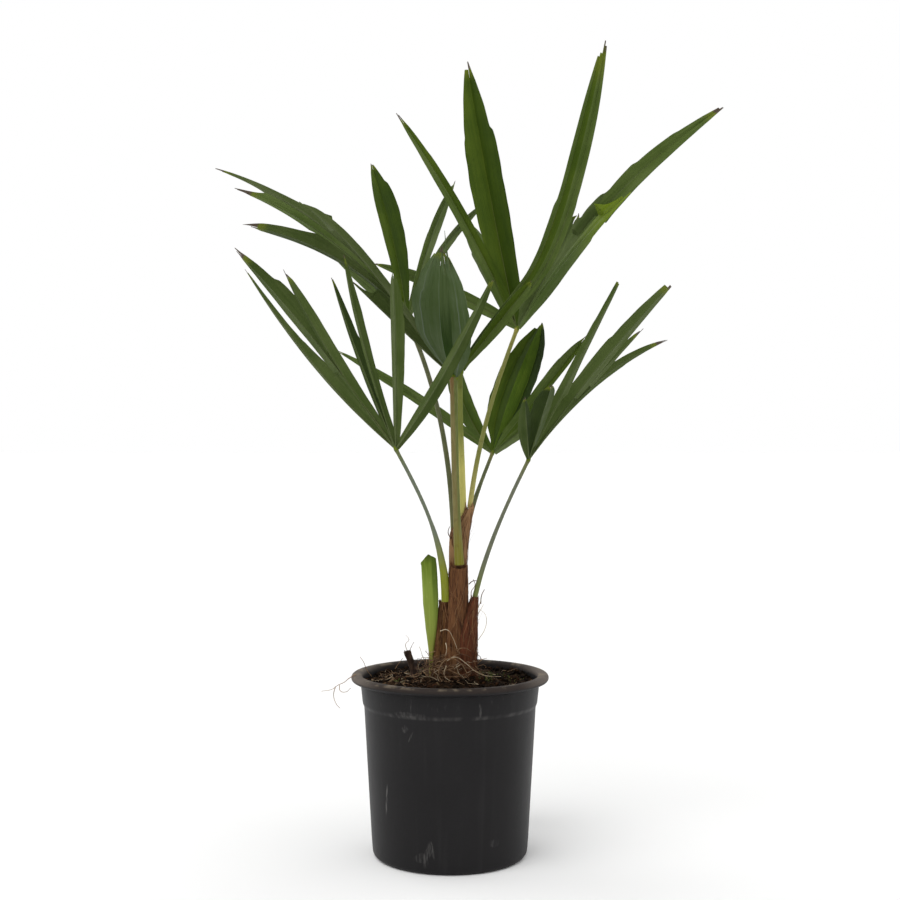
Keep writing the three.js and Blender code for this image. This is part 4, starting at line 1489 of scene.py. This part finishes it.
# One leaflet as strips from valley to crest, which part at the cleft
def makeLeaflet(frond, ribs, index, dice):
    item, rib = frond["leaflets"][index], ribs[index]
    folds, reach, tones = item["folds"], item["reach"], item["tones"]
    count = 2 * folds
    steps = int((reach - leaf["start"]) / leaf["rowStep"] - 0.4)
    distances = [leaf["start"] + step * leaf["rowStep"] for step in range(steps + 1)] + [reach]
    phase = dice.uniform(0, 50)
    chance = ((dice.choice([-1, 1]), dice.uniform(0.55, 0.8), dice.uniform(0.06, 0.14)),)
    shoulders = item.get("shoulders", chance)
    cleft = item.get("cleft", dice.uniform(0.925, 0.96))
    lobes = item.get("lobes", randomLobes(dice, count))
    yellowing = leaf["dryFrom"] - item.get("dry", dice.uniform(0.965, 0.99))

    def nicks(side, share):
        factor = 1 + 0.04 * noise.noise(Vector((share * 14, side * 3, phase)))
        for shoulderSide, at, drop in shoulders:
            if side == shoulderSide:
                swell = 0.5 * smoothStep(at - 0.25, at, share) * (1 - smoothStep(at + 0.1, 1, share))
                factor *= 1 + drop * (swell - smoothStep(at, at + 0.025, share))
        return factor

    def layStrip(strip):
        end, kept = lobes[strip]
        square = kept > 0.55
        left, right = -1 + strip / folds, -1 + (strip + 1) / folds
        fractions = leaf["strip"] if strip % 2 else [1 - value for value in leaf["strip"]][::-1]
        if frond["upperSide"] < 0:
            fractions = fractions[::-1]
        shares, edges = [], []
        for distance in distances:
            share = min(1, distance / reach)
            if share > cleft:
                share = cleft + (share - cleft) * (end - cleft) / (1 - cleft)
            shares.append(share)
            measured = share * reach if square else distance
            edges.append([edgeOf(frond, ribs, index, side, measured, nicks) for side in (-1, 1)])

        def surface(row, column):
            fraction, share = fractions[column], shares[row]
            place = blendValue(left, right, fraction)
            height = pleat(place, folds)
            if distances[row] / reach > cleft:
                onward = (distances[row] / reach - cleft) / (1 - cleft)
                middle = (left + right) / 2
                place = middle + (place - middle) * (1 - (1 - kept) * onward ** 0.8)
            (leftEdge, leftCrest, leftLift), (rightEdge, rightCrest, rightLift) = edges[row]
            edge, edgeLift = (leftEdge, leftLift) if place < 0 else (rightEdge, rightLift)
            crest = blendValue(leftCrest, rightCrest, (place + 1) / 2)
            lift = rib["lift"].lerp(edgeLift, abs(place))
            free = smoothStep(0, 0.2, share)
            wave = noise.noise(Vector((share * 9, place * 1.5, phase)))
            ripple = leaf["ripple"] * wave * free * abs(place) * (1 - abs(place)) * 4
            camber = leaf["camber"] * crest / leaf["fold"] * math.sin(math.pi * height)
            groove = leaf["groove"] * (1 - share) if height < 0.01 else 0
            return onRib(rib, share) + edge * abs(place) + lift * (crest * height + ripple + camber - groove)

        def across(row, column):
            fromRib = fractions[column] if strip % 2 else 1 - fractions[column]
            edge = edges[row][0] if strip < folds else edges[row][1]
            return (fromRib * edge[0].length / folds, shares[row] + yellowing)

        piece = layGrid(len(distances), len(fractions), surface, across)
        paint(piece, *leafMaterials)
        faces = piece.data.polygons
        # Each strip takes its tone's material, a lighter or darker green by how the light falls on it:
        # painted light and shade
        faces.foreach_set("material_index", [leafIndex[tones[strip]]] * len(faces))
        return piece

    return [layStrip(strip) for strip in range(count)]


# Raised ribs under a fan, as tapering strands that sink into the blade
def ribStrands(frond, ribs):
    last = leaf["ribKnots"] - 1
    strands = []
    for item, rib in zip(frond["leaflets"], ribs):
        if item["folds"] % 2 and item["soft"] == 1:
            shares = [0.004 + leaf["ribEnd"] * knot / last for knot in range(leaf["ribKnots"])]
            points = [onRib(rib, share) - rib["lift"] * 0.0003 for share in shares]
            radii = [leaf["ribRadius"] * (1 - share) ** 1.3 + 0.0001 for share in shares]
            strands.append({"points": points, "radii": radii, "finish": 0})
    return strands


# Thin dry points that stand over a blade
def spikeStrands(frond):
    lines = [[Vector(point) * mm for point in points] for points in frond.get("spikes", [])]
    return [{"points": line, "radii": leaf["spikeRadii"], "finish": 0} for line in lines]


def makeHub(frond):
    line = stalkLine(frond, 60)
    ahead = (line[-1] - line[-3]).normalized()
    deselectAll()
    bpy.ops.mesh.primitive_uv_sphere_add(segments=24, ring_count=16, radius=1)
    piece = bpy.context.active_object
    turn = ahead.to_track_quat("Z", "Y").to_matrix().to_4x4()
    stretch = Matrix.Diagonal([frond["hubWidth"] * share for share in leaf["hub"]] + [1])
    piece.data.transform(Matrix.Translation(frond["hub"]) @ turn @ stretch)
    paint(piece, underside("y"))
    return piece


def makeFan(letter, frond):
    dice = random.Random(leaf["seed"] + ord(letter))
    ribs = [ribOf(frond, item) for item in frond["leaflets"]]
    strips = []
    for index in range(len(ribs)):
        strips += makeLeaflet(frond, ribs, index, dice)
    fan = joinPieces("fan_" + letter, strips)
    weld(fan)
    skin = fan.modifiers.new("skin", "SOLIDIFY")
    skin.thickness = leaf["thickness"]
    skin.offset = 0
    skin.material_offset = 1
    applyModifiers(fan)
    pieces = [fan, makeHub(frond)]
    extras = ("ribs_", ribStrands(frond, ribs), "g"), ("spikes_", spikeStrands(frond), "p")
    for name, strands, tone in extras:
        if strands:
            pieces.append(drawStrands(name + letter, strands, [underside(tone)], 4, 2))
    fan = joinPieces("fan_" + letter, pieces)
    bpy.ops.object.material_slot_remove_unused()
    finishPiece(fan, ["blade_" + letter], smooth=28)


for letter, frond in fronds.items():
    makeFan(letter, frond)
print("fronds done")


# Loose roots at the foot of the trunk and over the lip, in millimetres: thickness, finish and points

looseRoots = [
    (0.45, 0, [(-10.5, -19, 239.1), (-3, -20.5, 240.6), (3, -20.5, 232.1), (7.5, -20.5, 220.6)]),
    (0.4, 0, [(-3, -24, 208.6), (5, -24.5, 212.6), (16, -25, 206.6), (27, -26, 197.6), (40, -28, 193.1),
        (53, -26, 192.5)]),
    (0.4, 0, [(-4.5, -22, 227.1), (-3.5, -23.5, 221.1), (-4.5, -23.5, 214.1)]),
    (0.5, 1, [(-12, -21, 192), (-10, -23.5, 203.6), (0, -24.5, 211.1), (10, -25, 207.1), (18, -25, 195.6)]),
    (0.45, 0, [(-4, -24.5, 203.6), (-6, -26, 193.6), (0, -27, 188), (8, -27, 184)]),
    (0.35, 0, [(30, -10, 228.6), (37, -12, 240.6), (38.5, -12, 251.1), (36, -12, 257.6), (31, -10, 260.6)]),
    (0.4, 0, [(29, -8, 254.6), (32.5, -10, 260.6), (35.5, -10, 266.1)]),
    (0.4, 0, [(28.5, -8, 259.6), (31, -10, 265.1), (33, -10, 271.6)]),
    (0.4, 1, [(29, -6, 202.6), (34.5, -8, 207.6), (39.5, -8, 209.1)]),
    (0.6, 2, [(20, -11, 287.6), (24, -12.5, 291.1), (28.5, -12.5, 291.6)]),
    (0.6, 2, [(0.5, -8, 336.1), (-2, -9, 342.1), (-0.5, -9, 348.6)]),
    (0.6, 2, [(32.5, -9, 266.6), (33.5, -10, 276), (36.5, -10, 282)]),
    (0.5, 2, [(23.5, -11, 270), (22.5, -12.5, 280), (26.5, -12.5, 287), (24.5, -12.5, 293)]),
    (0.35, 1, [(-24, 0, 196.6), (-29, -1, 209.6), (-32.5, -1, 220.1)]),
    (0.45, 1, [(-20.5, -6, 193.6), (-21.5, -7, 204.6), (-22.5, -7, 216.6)]),
    (0.35, 1, [(-45.5, 7, 213.6), (-47.5, 7, 221.6), (-44, 7, 226.6), (-47.5, 7, 231.6)]),
    (0.35, 2, [(-44, 7, 212.6), (-41, 7, 219.6), (-38.5, 7, 224.1)]),
    (0.4, 1, [(-84, 8, 187), (-89.5, 0, 196.6), (-91.5, -4, 203.6), (-95.5, -6, 210.1)]),
    (0.45, 1, [(-99, -22, 194), (-106.5, -22, 189.5), (-111, -20, 185.5), (-118, -18, 182),
        (-124, -16, 177.5), (-136, -12, 174.5)]),
    (0.4, 1, [(-120.5, -17, 180.5), (-122.5, -19, 172), (-119.5, -20, 162.5), (-115.5, -20, 158)]),
    (0.4, 1, [(-116.5, -18, 182), (-115, -22, 176.5), (-109, -24, 176), (-104, -24, 180)]),
    (0.4, 1, [(-60, 40, 190), (-56, 35, 196.6), (-51.5, 35, 202.6)]),
]
tangle = {
    "count": 170,
    "middle": (0.003, -0.002),
    "girth": (0.021, 0.018),
    "spread": (0.98, 1.3),
    "heights": (0.214, 0.188),
    "step": 0.0042,
    "climb": 0.0036,
    "lift": 0.0004,
    "thick": [0.00018, 0.00026, 0.0004],
    "seed": 31,
}


# Fine roots that curl round the foot of the trunk, most of them at the front
def tangleStrands(dice):
    strands = []
    for _ in range(tangle["count"]):
        angle = dice.gauss(-math.pi / 2, 1.1)
        spread = dice.uniform(*tangle["spread"])
        x = tangle["middle"][0] + tangle["girth"][0] * spread * math.cos(angle)
        y = tangle["middle"][1] + tangle["girth"][1] * spread * math.sin(angle)
        z = blendValue(*tangle["heights"], (spread - 1) * 3.3) + dice.uniform(-0.006, 0.004)
        heading = dice.uniform(0, math.tau)
        climb = dice.uniform(-0.6, 0.6)
        thick = dice.choice(tangle["thick"])
        points = []
        for _ in range(dice.randint(5, 10)):
            points.append((x, y, z))
            heading += dice.gauss(0.5, 0.5)
            climb += dice.gauss(-0.1, 0.35)
            x += tangle["step"] * math.cos(heading)
            y += tangle["step"] * math.sin(heading) * 0.6
            z = max(soilHeight(x, y) + tangle["lift"], z + tangle["climb"] * math.sin(climb))
        strands.append(taper(points, thick, 0.6, dice.choices([0, 1, 2], [1, 3, 6])[0]))
    return strands


def makeLooseRoots():
    strands = tangleStrands(random.Random(tangle["seed"]))
    for thick, finish, points in looseRoots:
        strands.append(taper([Vector(point) * mm for point in points], thick * mm, 0.6, finish))
    finishPiece(drawStrands("looseRoots", strands, rootFinishes, 5, 2), smooth=60)


makeLooseRoots()
